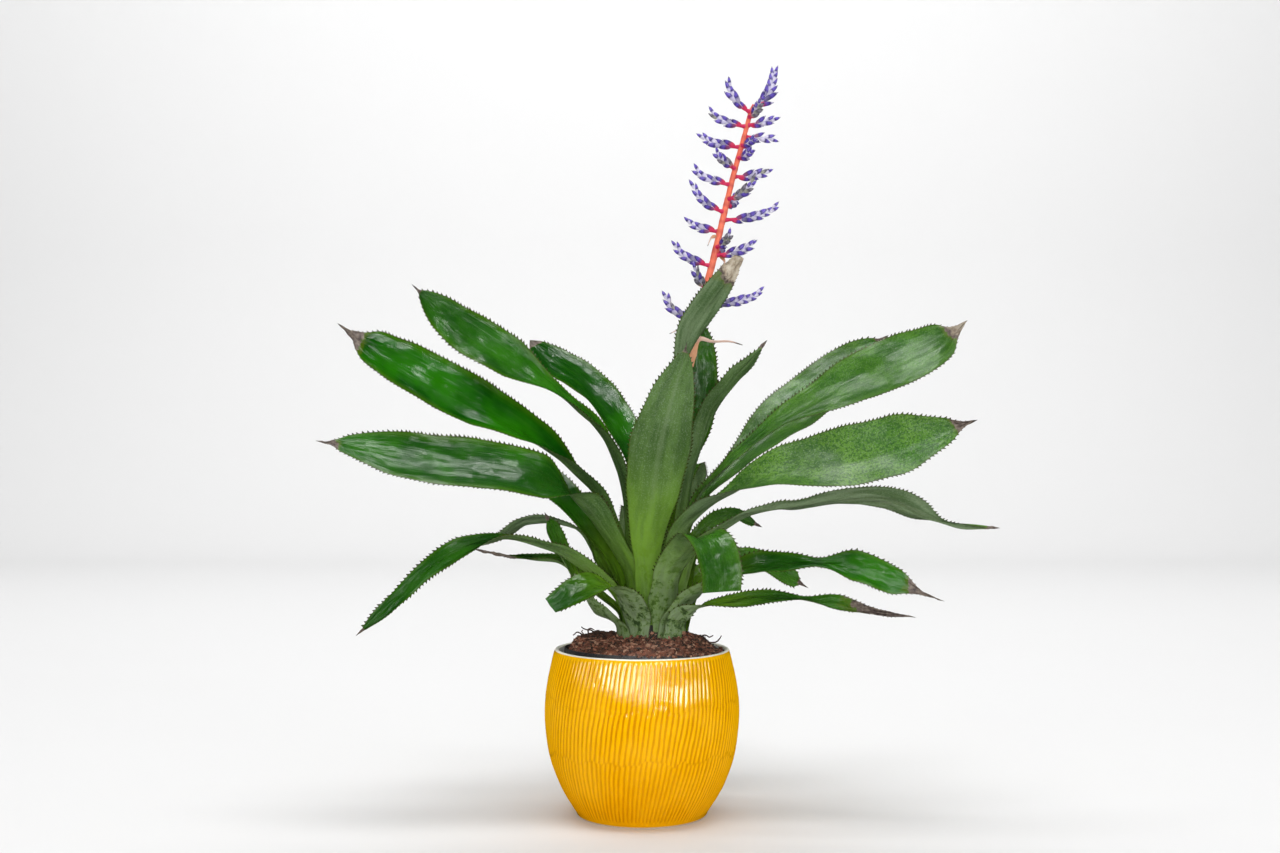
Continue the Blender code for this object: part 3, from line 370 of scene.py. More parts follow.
LEAVES = (
    Leaf("leaf_01_cut_left", 12, 17,
         ((-12, -42, 188), (-20, -52, 198), (-35, -62, 203), (-52, -72, 197), (-74, -80, 185)),
         ((0.3, 0.5, 0.6, 0.6), (0.7, 0.2, -0.4, 0.9), (1.0, 0.1, -0.7, 0.7)), cut=True, neck=15,
         wrap=38, taper=(0.88, 0.50), dry=2, scurf=0.10, age=1.0, foot=0.50),
    Leaf("leaf_02_low_right", 13, 9,
         ((28, -30, 169), (49, -38, 181), (78, -46, 186), (106, -52, 190), (131, -56, 189),
          (159, -60, 187), (188, -64, 179), (218, -66, 172)),
         ((0.22, -0.3, 0.0, 0.9), (0.38, 0.0, -0.6, 0.8), (0.60, 0.0, -0.3, 1.0),
          (0.75, *TO_CAMERA)), neck=9, wrap=34, dry=46, age=1.0, shrink=0.62, bend=6, turn=50,
         scurf=0.35, waists=((0.62, 0.45, 0.10),), foot=0.6),
    Leaf("leaf_03_short_left", 13, 12,
         ((-40, -12, 177), (-58, -15, 205), (-70, -16, 231), (-81, -18, 254)),
         ((0.25, 0.75, 0.55, 0.3), (0.55, 0.8, -0.2, 0.4), (1.0, 0.7, -0.6, 0.4)), wrap=50, dry=2,
         taper=(1.05, 0.82), scurf=0.5, age=0.9, foot=0.8),
    Leaf("leaf_04_edge_left", 11, 13,
         ((-42, 10, 190), (-70, 20, 215), (-98, 26, 218), (-121, 28, 219), (-145, 28, 224)),
         ((0.4, *UP), (1.0, *UP)), wrap=30, dry=30, age=0.9, shrink=0.4, turn=30),
    Leaf("leaf_05_low_back_right", 13, 14,
         ((51, 25, 202), (83, 40, 216), (111, 50, 212), (147, 60, 190)),
         ((0.4, -0.3, -0.4, 0.8), (1.0, *TO_CAMERA)), wrap=33, scurf=0.5, age=0.9, foot=0.4),
    Leaf("leaf_06_tail_right", 11, 16,
         ((40, -35, 188), (61, -45, 203), (86, -52, 215), (114, -58, 219), (147, -62, 219),
          (179, -68, 215), (206, -74, 204), (226, -80, 196), (239, -84, 192)),
         ((0.24, -0.3, 0.1, 0.9), (0.40, 0.0, -0.6, 0.8), (0.60, 0.0, -0.35, 1.0),
          (0.72, *TO_CAMERA)), neck=13, wrap=40, dry=25, scurf=0.1, age=0.9, shrink=0.80,
         bend=-2, turn=60, waists=((0.61, 0.58, 0.10),)),
    Leaf("leaf_07_drooping_left", 10, 13,
         ((-30, -25, 199), (-52, -35, 217), (-79, -45, 232), (-111, -55, 240), (-141, -66, 235),
          (-171, -78, 217), (-195, -88, 194), (-224, -98, 167)),
         ((0.3, 0.4, 0.5, 0.7), (0.5, 0.0, 0.1, 1.0), (0.7, *TO_CAMERA)), wrap=34, scurf=0.15,
         dry=3, waists=((0.82, 0.42, 0.24),)),
    Leaf("leaf_08_low_back", 12, 20,
         ((8, 50, 215), (4, 90, 248), (0, 140, 258), (-4, 185, 240), (-8, 215, 205)),
         ((0.4, 0.0, -0.3, 1.0), (1.0, 0.0, 0.5, 0.9)), wrap=40),
    Leaf("leaf_09_narrow_left", 9, 10,
         ((-31, 10, 207), (-50, 18, 238), (-77, 25, 250), (-104, 32, 249), (-123, 38, 238),
          (-155, 44, 225)),
         ((0.3, *UP), (0.5, 0.0, 0.33, 0.94), (1.0, 0.0, 0.33, 0.94)), scurf=0.9),
    Leaf("leaf_10_small_right", 10, 9,
         ((47, 25, 233), (65, 40, 250), (84, 50, 255), (105, 58, 245)),
         ((0.4, -0.3, -0.5, 0.8), (1.0, 0.0, -0.7, 0.7)), neck=9, dry=3, scurf=0.6),
    Leaf("leaf_11_cut_right", 9, 20,
         ((23, -44, 211), (38, -62, 233), (47, -76, 243), (56, -90, 236), (62, -97, 218),
          (63, -98, 198)),
         ((0.3, -0.3, 0.8, 0.3), (0.7, 0.1, -0.3, 1.0), (1.0, 0.4, -0.85, 0.3)), cut=True, wrap=40,
         taper=(1.0, 0.86), dry=2, scurf=0.3, age=0.75, foot=0.45),
    Leaf("leaf_12_spreading_right", 8, 15,
         ((48, -13, 231), (66, -14, 243), (89, -12, 257), (115, -10, 263), (136, -8, 264),
          (180, -5, 272), (215, 0, 269), (247, 5, 256), (278, 8, 246), (308, 10, 244)),
         ((0.3, -0.4, 0.2, 0.9), (0.5, 0.0, 0.3, 1.0), (0.7, 0.0, 0.65, 0.75),
          (1.0, 0.0, 0.5, 0.85)), wrap=42, dry=7, scurf=1.0,
         waists=((0.868, 0.93, 0.075), (0.955, 0.62, 0.075))),
    Leaf("leaf_13_mid_back", 7, 22,
         ((22, 45, 250), (30, 85, 285), (38, 130, 300), (44, 175, 290), (48, 215, 262)),
         ((0.4, 0.0, -0.3, 1.0), (1.0, 0.0, 0.4, 0.9))),
    Leaf("leaf_14_behind_left", 8, 17,
         ((-32, 12, 226), (-55, 20, 257), (-82, 28, 284), (-114, 36, 302), (-147, 42, 306)),
         ((0.4, 0.3, -0.6, 0.7), (1.0, *TO_CAMERA)), scurf=0.1),
    Leaf("leaf_15_wide_left", 6, 26,
         ((-34, -38, 251), (-51, -55, 274), (-79, -70, 288), (-123, -85, 298), (-170, -95, 303),
          (-213, -100, 311), (-254, -105, 318)),
         ((0.3, 0.4, 0.5, 0.7), (0.36, 0.1, 0.1, 1.0), (0.47, *TO_CAMERA)), neck=12, wrap=40,
         taper=(0.84, 0.40), dry=12, scurf=0.1, shrink=0.3),
    Leaf("leaf_16_wide_right", 6, 28,
         ((31, -29, 240), (51, -37, 264), (80, -46, 283), (110, -54, 295), (147, -62, 302),
          (187, -70, 310), (226, -78, 321), (266, -85, 334)),
         ((0.3, -0.5, 0.3, 0.7), (0.5, -0.3, -0.5, 0.8), (0.7, 0.05, -0.92, 0.40)), neck=10,
         wrap=40, taper=(0.94, 0.44), dry=13, scurf=1.0, shrink=0.35),
    Leaf("leaf_17_high_back", 3, 21,
         ((8, 38, 275), (12, 60, 308), (16, 92, 335), (20, 130, 348), (22, 170, 335),
          (22, 200, 305)),
         ((0.4, 0.0, -0.5, 0.8), (1.0, 0.0, 0.5, 0.9))),
    Leaf("leaf_18_glossy_left", 5, 27,
         ((-33, -18, 267), (-48, -25, 288), (-69, -32, 310), (-102, -42, 332), (-147, -55, 355),
          (-191, -65, 379), (-226, -72, 398), (-244, -75, 413)),
         ((0.3, 0.7, 0.3, 0.5), (0.45, 0.5, -0.3, 0.8), (0.65, 0.3, -0.8, 0.6)),
         dry=19, scurf=0.0, shrink=0.45, bend=-2, turn=20),
    Leaf("leaf_19_speckled_right", 5, 28,
         ((47, -12, 269), (66, -15, 293), (90, -18, 317), (123, -22, 341), (161, -28, 361),
          (201, -34, 380), (242, -40, 398), (272, -46, 417)),
         ((0.3, -0.7, -0.1, 0.5), (0.5, -0.4, -0.6, 0.7), (0.7, -0.2, -0.8, 0.6)), neck=9, wrap=40,
         taper=(0.98, 0.78), dry=15, scurf=0.62, shrink=0.5, bend=4, turn=50, bleach=0.7,
         waists=((0.46, 0.66, 0.34),)),
    Leaf("leaf_20_high_left", 4, 22,
         ((-14, -4, 269), (-18, -6, 295), (-29, -8, 323), (-53, -14, 347), (-84, -22, 371),
          (-122, -30, 395), (-155, -36, 416), (-190, -42, 448)),
         ((0.3, 0.8, 0.2, 0.3), (0.55, 0.6, -0.2, 0.7), (0.72, 0.3, -0.85, 0.5)), dry=5, scurf=0.12,
         taper=(1.0, 0.74), waists=((0.60, 0.38, 0.16),)),
    Leaf("leaf_21_high_right", 4, 31,
         ((52, 24, 270), (85, 37, 301), (118, 50, 333), (151, 62, 359), (188, 74, 388),
          (226, 84, 417)),
         ((0.3, -0.6, -0.4, 0.5), (0.6, -0.4, -0.7, 0.6), (1.0, -0.3, -0.8, 0.6)), neck=9, wrap=38,
         scurf=0.65, waists=((0.42, 0.38, 0.22),)),
    Leaf("leaf_22_centre_front", 7, 27,
         ((4, -37, 233), (9, -50, 277), (16, -58, 319), (25, -64, 355), (32, -66, 378),
          (36, -66, 396)),
         ((0.3, 0.0, 1.0, 0.2), (1.0, -0.1, 1.0, 0.1)), neck=11, wrap=36, taper=(0.66, 0.36), dry=4,
         scurf=0.0, lime=32),
    Leaf("leaf_23_folded_left", 2, 24,
         ((-3, 20, 295), (-18, 43, 331), (-36, 65, 359), (-57, 80, 380), (-81, 92, 396),
          (-102, 100, 414)),
         ((0.3, 0.5, -0.6, 0.3), (1.0, 0.6, -0.7, 0.5)), wrap=44, taper=(1.0, 0.84), dry=3,
         scurf=0.05, shrink=0.10, end=8.0, bleach=0.1),
    Leaf("leaf_24_before_stalk", 3, 15,
         ((12, -30, 270), (20, -35, 320), (28, -37, 360), (34, -36, 390), (40, -35, 411),
          (50, -36, 427), (64, -41, 447), (76, -47, 463), (82, -52, 471)),
         ((0.3, 0.0, 1.0, 0.2), (0.62, -0.95, 0.30, 0.2), (0.78, -0.6, 0.8, 0.4),
          (1.0, -0.5, 0.8, 0.4)), neck=11, taper=(0.97, 0.84), dry=22, scurf=0.8, shrink=0.10,
         bend=4, turn=22, end=7.0, waists=((0.64, 0.28, 0.14),), bleach=1.0),
    Leaf("leaf_25_channelled_right", 2, 12,
         ((42, 8, 295), (52, 5, 330), (61, 0, 351), (80, -5, 375), (93, -8, 388),
          (105, -10, 403)),
         ((0.3, -0.75, 0.6, 0.2), (0.75, -0.6, 0.65, 0.4), (1.0, -0.6, 0.55, 0.5)), neck=9, dry=4,
         scurf=0.2),
    Leaf("leaf_26_behind_stalk", 1, 16,
         ((24, 27, 286), (46, 31, 326), (52, 31, 360), (52, 32, 393), (51, 35, 430)),
         ((0.3, -0.4, -0.9, 0.1), (1.0, 0.0, -1.0, 0.1)), wrap=26, scurf=0.2),
)

# Flower branches: name, height of the joint on the stalk, tip (all mm)
BRANCHES = (
    ("flower_01_top", 612.0, (117, -2, 649)),
    ("flower_02_top_left", 608.0, (73, -12, 636)),
    ("flower_03_front", 603.0, (103, -38, 614)),
    ("flower_04_left", 595.0, (56, -5, 611)),
    ("flower_05_right", 596.0, (119, -15, 601)),
    ("flower_06_right", 586.0, (121, 6, 585)),
    ("flower_07_left", 577.0, (49, 8, 592)),
    ("flower_08_bud", 578.0, (99, -24, 582)),
    ("flower_09_bud", 567.0, (96, -26, 571)),
    ("flower_10_front_left", 558.0, (61, -27, 571)),
    ("flower_11_left", 544.0, (43, -8, 560)),
    ("flower_12_right", 551.0, (115, 10, 561)),
    ("flower_13_front_right", 531.0, (98, -32, 546)),
    ("flower_14_left", 520.0, (42, -16, 546)),
    ("flower_15_long_right", 513.0, (122, 6, 529)),
    ("flower_16_left", 503.0, (38, 8, 518)),
    ("flower_17_front", 489.0, (77, -32, 500)),
    ("flower_18_right", 482.0, (100, -10, 496)),
    ("flower_19_long_left", 473.0, (26, -6, 496)),
    ("flower_20_front_left", 453.0, (45, -24, 474)),
    ("flower_21_low_right", 439.0, (109, 16, 455)),
    ("flower_22_low_left", 426.0, (19, 10, 453)),
    ("flower_23_back_high", 571.0, (93, 40, 591)),
    ("flower_24_back_mid", 527.0, (86, 40, 546)),
    ("flower_25_back_low", 486.0, (74, 38, 504)),
)

# Dry bracts: name, half width, height of the root on the stalk, then points to the tip (mm)
BRACTS = (
    ("bract_papery", 4.0, 376.0,
     ((43, -6.5, 393), (49, -8, 408), (61, -8, 406), (76, -8, 406), (87, -7, 403))),
    ("bract_low_left", 1.8, 411.0, ((35, 5, 418), (24, 6, 414))),
    ("bract_mid_left", 1.6, 499.0, ((60, -6, 496), (57, -7, 489))),
    ("bract_mid_right", 1.8, 484.0, ((72, 5, 478), (71, 6, 467))),
)

# Loose roots that stand out of the soil: points in mm
ROOTS = (
    ((-48, 8, 147), (-52, 6, 152), (-56, 4, 154), (-60, 3, 152)),
    ((-45, 14, 148), (-47, 12, 154), (-45, 9, 157), (-41, 8, 155)),
    ((-43, 5, 148), (-49, 1, 152), (-52, -3, 155), (-51, -5, 157)),
    ((-40, 18, 149), (-44, 15, 154), (-49, 13, 155), (-53, 12, 158)),
    ((58, -6, 146), (63, -7, 147), (66, -8, 149), (68, -9, 153)),
    ((50, 16, 147), (55, 13, 151), (59, 11, 149), (62, 10, 151)),
)


def colour_setting(name, description, default):
    """A colour that the panel shows."""
    return FloatVectorProperty(name=name, description=description, default=default, size=3,
                               min=0.0, max=1.0, subtype="COLOR")


def length_setting(name, description, default):
    """A length, up to 100 mm, that the panel shows."""
    return FloatProperty(name=name, description=description, default=default, min=0.00005, max=0.1,
                         precision=5, subtype="DISTANCE", unit="LENGTH")


class AechmeaPotSettings(bpy.types.PropertyGroup):
    """Sizes and colours of the ceramic pot and the grower pot in it."""

    rib_count: IntProperty(name="Ribs", description="Combed ribs round the pot", default=118,
                           min=24, max=150)
    rib_depth: length_setting("Rib depth", "Height of a rib over its grooves", 0.00082)
    glaze: colour_setting("Glaze", "Glaze on the ribs", (0.93, 0.475, 0.0))
    groove: colour_setting("Groove", "Glaze where it pools in the grooves", (0.62, 0.235, 0.0))
    # Colour that the glaze darkens to from the belly down to the foot
    foot_glaze: colour_setting("Foot", "Deeper glaze towards the foot", (0.80, 0.340, 0.0))
    lip: colour_setting("Lip", "Clay that shows through at the lip", (1.0, 0.97, 0.86))
    inside: colour_setting("Inside", "Inside of the pot", (0.97, 0.97, 0.94))
    plastic: colour_setting("Grower pot", "Plastic of the grower pot", (0.020, 0.022, 0.026))


class AechmeaSoilSettings(bpy.types.PropertyGroup):
    """Sizes and colours of the compost."""

    crumbs: IntProperty(name="Crumbs", description="Loose crumbs on the soil", default=2500,
                        min=0, max=5000)
    chips: IntProperty(name="Bark chips", description="Loose chips of bark on the soil",
                       default=800, min=0, max=3000)
    collar: IntProperty(name="Collar", description="Crumbs heaped round the foot of the plant",
                        default=1300, min=0, max=3000)
    spilled: IntProperty(name="Spilled", description="Crumbs spilled over the grower pot's rim",
                         default=330, min=0, max=2000)
    crumb_size: length_setting("Crumb size", "Largest crumb", 0.0038)
    dark: colour_setting("Peat", "Dark peat", (0.020, 0.011, 0.008))
    brown: colour_setting("Bark", "Brown bark", (0.215, 0.067, 0.034))
    pale: colour_setting("Fibre", "Pale fibre", (0.55, 0.31, 0.20))


class AechmeaLeafSettings(bpy.types.PropertyGroup):
    """Sizes and colours of the leaves and the stem that they nest round."""

    thickness: length_setting("Thickness", "Thickness of a blade along its middle", 0.00065)
    spine_length: length_setting("Spine length", "Length of a spine on a leaf's margin", 0.0020)
    spine_pitch: length_setting("Spine pitch", "Distance from spine to spine", 0.0035)
    upper: colour_setting("Upper face", "Glossy upper face", (0.002, 0.052, 0.001))
    fresh: colour_setting("Fresh green", "Lighter parts of the upper face", (0.014, 0.136, 0.001))
    under: colour_setting("Under face", "Dull, scurfy under face", (0.074, 0.152, 0.030))
    sheath: colour_setting("Sheath", "Pale green near the crown", (0.165, 0.330, 0.018))
    scurf: colour_setting("Scurf", "Fine grey scales on the skin", (0.200, 0.280, 0.160))
    dry: colour_setting("Dry tip", "Dried leaf tissue", (0.135, 0.104, 0.086))
    dead: colour_setting("Dead edge", "Darkest dried tissue", (0.038, 0.026, 0.027))


class AechmeaFlowerSettings(bpy.types.PropertyGroup):
    """Sizes and colours of the flower stalk, its branches and its dry bracts."""

    floret_length: length_setting("Floret length", "Length of the largest floret", 0.0152)
    floret_width: length_setting("Floret width", "Half width of the largest floret", 0.0029)
    floret_pitch: length_setting("Floret pitch", "Distance from floret to floret", 0.0047)
    stalk: colour_setting("Stalk", "Coral red of the main stalk", (0.84, 0.155, 0.080))
    joint: colour_setting("Joint", "Crimson of the branches' feet", (0.58, 0.014, 0.085))
    violet: colour_setting("Violet", "Violet blue of the florets", (0.115, 0.070, 0.46))
    navy: colour_setting("Navy", "Dark ends of the florets", (0.026, 0.018, 0.105))
    pale: colour_setting("Pale band", "Whitish bands of the florets", (0.74, 0.72, 0.79))
    bract: colour_setting("Bract", "Papery dry bracts", (0.64, 0.29, 0.145))
    strand: colour_setting("Strand", "Thin ends of the bracts", (0.72, 0.49, 0.40))


class AechmeaStageSettings(bpy.types.PropertyGroup):
    """Floor and light."""

    floor: colour_setting("Floor", "Pale floor and wall", (0.77, 0.77, 0.77))
    window: FloatProperty(name="Soft light", description="Brightness of the soft light in front",
                          default=9.0, min=0.0, max=50.0)
    shine: FloatProperty(name="Window shine", description="Brightness of the windows in the gloss",
                         default=17.0, min=0.0, max=100.0)
    roof: FloatProperty(name="Roof shine", description="Brightness of the roof panels in the gloss",
                        default=46.0, min=0.0, max=100.0)
    wall: FloatProperty(name="Wall light", description="Brightness of the light on the wall",
                        default=9.2, min=0.0, max=50.0)
    ceiling: FloatProperty(name="Ceiling light", description="Brightness of the soft light above",
                           default=9.0, min=0.0, max=50.0)
    sky: FloatProperty(name="Room light", description="Strength of the even light all round",
                       default=0.44, min=0.0, max=5.0)


class Nodes:
    """Short calls that add nodes to a shader tree and link them."""

    def __init__(self, tree):
        self.tree = tree

    def new(self, kind, **settings):
        """A node of a kind, with its settings."""
        node = self.tree.nodes.new(kind)
        for name, value in settings.items():
            setattr(node, name, value)
        return node

    def feed(self, socket, value):
        """Links another socket to this one, or gives it a number, a vector or a colour."""
        if isinstance(value, bpy.types.NodeSocket):
            self.tree.links.new(value, socket)
        elif isinstance(value, (int, float)):
            socket.default_value = value
        elif len(value) == 3 and socket.type == "RGBA":
            socket.default_value = (*value, 1.0)
        else:
            socket.default_value = value

    def math(self, operation, one, two=0.5, clamp=False):
        node = self.new("ShaderNodeMath", operation=operation, use_clamp=clamp)
        self.feed(node.inputs[0], one)
        self.feed(node.inputs[1], two)
        return node.outputs[0]

    def times(self, one, two):
        return self.math("MULTIPLY", one, two)

    def total(self, first, *others):
        for other in others:
            first = self.math("ADD", first, other)
        return first

    def size(self, value):
        return self.math("ABSOLUTE", value)

    def step(self, value, low, high, start=0.0, end=1.0):
        """Start below low, end above high, and a smooth change from one to the other."""
        node = self.new("ShaderNodeMapRange", interpolation_type="SMOOTHSTEP")
        for socket, entry in zip(node.inputs[:5], (value, low, high, start, end)):
            self.feed(socket, entry)
        return node.outputs[0]

    def between(self, mask, start, end):
        """Start where the mask is 0 and end where it is 1."""
        return self.step(mask, 0.0, 1.0, start, end)

    def stray(self, value, grain, reach):
        """A value that strays to both sides with a grain, by half its reach at most."""
        return self.total(value, self.times(self.math("SUBTRACT", grain, 0.5), reach))

    def tint(self, base, colour, mask, share=None):
        """A base colour that turns to another by a mask, or by a share of it."""
        node = self.new("ShaderNodeMix", data_type="RGBA")
        self.feed(node.inputs[0], mask if share is None else self.times(mask, share))
        self.feed(node.inputs[6], base)
        self.feed(node.inputs[7], colour)
        return node.outputs[2]

    def ramp(self, value, stops):
        """Colours by a value, from rows of places and colours."""
        node = self.new("ShaderNodeValToRGB")
        points = node.color_ramp.elements
        while len(points) < len(stops):
            points.new(0.5)
        for point, (place_at, colour) in zip(points, stops):
            point.position = place_at
            point.color = (*colour, 1.0)
        self.feed(node.inputs[0], value)
        return node.outputs[0]

    def mark(self, name):
        """A float mark of the mesh."""
        return self.new("ShaderNodeAttribute", attribute_name=name).outputs["Fac"]

    def place(self, stretch=None):
        """The place on the object, in metres or stretched."""
        spot = self.new("ShaderNodeTexCoord").outputs["Object"]
        if stretch is None:
            return spot
        node = self.new("ShaderNodeMapping")
        self.feed(node.inputs["Vector"], spot)
        node.inputs["Scale"].default_value = stretch
        return node.outputs[0]

    def leaf_place(self, across, along):
        """A place on the flattened leaf, from its marks across and along."""
        node = self.new("ShaderNodeCombineXYZ")
        scales = (("across", across), ("along", along), ("kind", 7.0))
        for socket, (label, scale) in zip(node.inputs, scales):
            self.feed(socket, self.times(self.mark(label), scale))
        return node.outputs[0]

    def noise(self, scale, detail=3.0, roughness=0.55, where=None):
        node = self.new("ShaderNodeTexNoise")
        self.feed(node.inputs["Vector"], where or self.place())
        self.feed(node.inputs["Scale"], scale)
        node.inputs["Detail"].default_value = detail
        node.inputs["Roughness"].default_value = roughness
        return node.outputs["Fac"]

    def bump(self, height, strength, distance, normal=None):
        node = self.new("ShaderNodeBump")
        node.inputs["Strength"].default_value = strength
        node.inputs["Distance"].default_value = distance
        self.feed(node.inputs["Height"], height)
        if normal is not None:
            self.feed(node.inputs["Normal"], normal)
        return node.outputs["Normal"]

    def group(self, tree, **values):
        node = self.new("ShaderNodeGroup", node_tree=tree)
        for name, value in values.items():
            self.feed(node.inputs[name.replace("_", " ")], value)
        return node.outputs

    def mottle(self, scale, speckle_scale, speckle_amount):
        """Masks of broad variation and of speckle."""
        masks = self.group(mottle_group(), Scale=scale, Speckle_Scale=speckle_scale,
                           Speckle_Amount=speckle_amount)
        return masks["Broad"], masks["Speckle"]

    def fibres(self, count, waver):
        """Mask and height of lines along a piece, by its mark across."""
        masks = self.group(fibre_group(), Across=self.mark("across"), Count=count, Waver=waver)
        return masks["Line"], masks["Height"]


class Finish(Nodes):
    """A new material with a Principled shader, and the nodes that feed it."""

    def __init__(self, name):
        self.made = bpy.data.materials.new(name)
        self.made.use_nodes = True
        super().__init__(self.made.node_tree)

    def wear(self, **values):
        """Feeds the shader's inputs by name and returns the material."""
        shader = self.tree.nodes["Principled BSDF"]
        for name, value in values.items():
            self.feed(shader.inputs[name.replace("_", " ")], value)
        return self.made


def new_group(name, inputs, outputs):
    """A shader node group with float inputs and outputs."""
    kind = "NodeSocketFloat"
    tree = bpy.data.node_groups.new(name, "ShaderNodeTree")
    for label, value in inputs:
        socket = tree.interface.new_socket(name=label, in_out="INPUT", socket_type=kind)
        socket.default_value = value
    for label in outputs:
        tree.interface.new_socket(name=label, in_out="OUTPUT", socket_type=kind)
    nodes = Nodes(tree)
    return tree, nodes, nodes.new("NodeGroupInput").outputs, nodes.new("NodeGroupOutput").inputs


def mottle_group():
    """Soft, broad variation and a fine speckle, both as masks."""
    name = "Mottle"
    if name in bpy.data.node_groups:
        return bpy.data.node_groups[name]
    tree, nodes, given, out = new_group(name, (("Scale", 30.0), ("Speckle Scale", 600.0),
                                               ("Speckle Amount", 0.5)), ("Broad", "Speckle"))
    broad = nodes.noise(given["Scale"], 4.0, 0.6)
    nodes.feed(out["Broad"], nodes.step(broad, 0.30, 0.70))
    grain = nodes.noise(given["Speckle Scale"], 2.0, 0.7)
    low = nodes.math("SUBTRACT", 0.72, nodes.times(given["Speckle Amount"], 0.22))
    nodes.feed(out["Speckle"], nodes.step(grain, low, nodes.total(low, 0.09)))
    return tree


def fibre_group():
    """Fine lines that run along a blade, stalk or bract, by the share across it."""
    name = "Fibres"
    if name in bpy.data.node_groups:
        return bpy.data.node_groups[name]
    tree, nodes, given, out = new_group(name, (("Across", 0.0), ("Count", 30.0), ("Waver", 1.2)),
                                        ("Line", "Height"))
    drift = nodes.times(nodes.noise(45.0, 2.0, 0.5), given["Waver"])
    turns = nodes.total(nodes.times(given["Across"], given["Count"]), drift)
    wave = nodes.math("SINE", nodes.times(turns, math.tau))
    level = nodes.total(nodes.times(wave, 0.5), 0.5)
    nodes.feed(out["Height"], level)
    nodes.feed(out["Line"], nodes.math("POWER", level, 3.0))
    return tree


def glaze_finish(settings):
    """Thick amber glaze: bright on the ribs, deep in the grooves, thin and pale on the lip. The
    underside is bare clay."""
    nodes = Finish("amber_glaze")
    broad, speckle = nodes.mottle(26.0, 1500.0, 0.3)
    groove = nodes.mark("groove")
    split = nodes.new("ShaderNodeSeparateXYZ")
    nodes.feed(split.inputs[0], nodes.place())
    height = split.outputs[2]
    # Darker towards the foot, from the belly down
    towards_foot = nodes.step(height, 0.090, 0.010, 0.0, 0.75)
    worn = nodes.total(nodes.mark("lip"), nodes.times(nodes.noise(150.0), 0.45))
    underside = nodes.step(height, 0.0016, 0.0006)
    clay = nodes.ramp(nodes.noise(420.0, 4.0), ((0.3, CLAY_DARK), (0.75, CLAY_LIGHT)))

    colour = nodes.tint(settings.glaze, settings.groove, nodes.step(groove, 0.25, 1.0))
    colour = nodes.tint(colour, settings.foot_glaze, towards_foot)
    colour = nodes.tint(colour, settings.groove, nodes.step(groove, 0.3, 1.0), towards_foot)
    colour = nodes.tint(colour, AMBER_LIGHT, broad, 0.30)
    colour = nodes.tint(colour, AMBER_SPECK, speckle, 0.25)
    colour = nodes.tint(colour, settings.lip, nodes.step(worn, 0.55, 0.95))
    colour = nodes.tint(colour, settings.inside, nodes.mark("inside"))
    dull = nodes.math("ADD", nodes.mark("inside"), nodes.mark("lip"), True)
    dimples = nodes.total(nodes.noise(170.0, 2.0), nodes.times(nodes.noise(700.0), 0.3))
    return nodes.wear(
        Base_Color=nodes.tint(colour, clay, underside),
        Roughness=nodes.total(0.07, nodes.times(broad, 0.09), nodes.times(underside, 0.6),
                              nodes.times(dull, 0.65)),
        Specular_IOR_Level=0.75, Coat_Weight=0.05, Coat_Roughness=0.05,
        Normal=nodes.bump(dimples, 0.35, 0.0004))


def plastic_finish(settings):
    """Thin dark nursery plastic, scuffed and dusty along its rim."""
    nodes = Finish("nursery_plastic")
    broad, speckle = nodes.mottle(60.0, 900.0, 0.75)
    colour = nodes.tint(settings.plastic, DUST, broad, 0.35)
    return nodes.wear(
        Base_Color=nodes.tint(colour, GRIT, speckle, 0.5),
        Roughness=nodes.between(broad, 0.30, 0.55),
        Normal=nodes.bump(nodes.noise(1400.0), 0.25, 0.0002))


def soil_finish(settings):
    """Peat with brown bark and paler fibres; each crumb has its own shade, and everything is darker
    towards the back, which is painted shade.
    """
    nodes = Finish("compost")
    broad, speckle = nodes.mottle(110.0, 1300.0, 0.9)
    shade = nodes.stray(nodes.mark("shade"), nodes.noise(800.0, 4.0, 0.7), 0.55)
    colour = nodes.ramp(shade, ((0.05, settings.dark), (0.38, settings.brown), (0.62, BARK_RED),
                                (0.95, settings.pale)))
    colour = nodes.tint(colour, PEAT_DAMP, broad, 0.28)
    return nodes.wear(
        Base_Color=nodes.tint(colour, BARK_SPECK, speckle, 0.4),
        Roughness=nodes.between(broad, 0.98, 0.78),
        Normal=nodes.bump(nodes.noise(1100.0, 5.0, 0.7), 0.8, 0.0008))


def stem_finish():
    """The short stem: dark skin with brown rings where leaves were."""
    nodes = Finish("stem_skin")
    broad, speckle = nodes.mottle(90.0, 800.0, 0.6)
    rings = nodes.noise(1.0, 3.0, 0.6, nodes.place((60.0, 60.0, 900.0)))
    colour = nodes.tint(STEM_SKIN, STEM_RING, nodes.step(rings, 0.45, 0.62))
    return nodes.wear(
        Base_Color=nodes.tint(colour, STEM_SPECK, speckle, 0.5),
        Roughness=nodes.between(broad, 0.5, 0.8),
        Normal=nodes.bump(rings, 0.6, 0.0006))


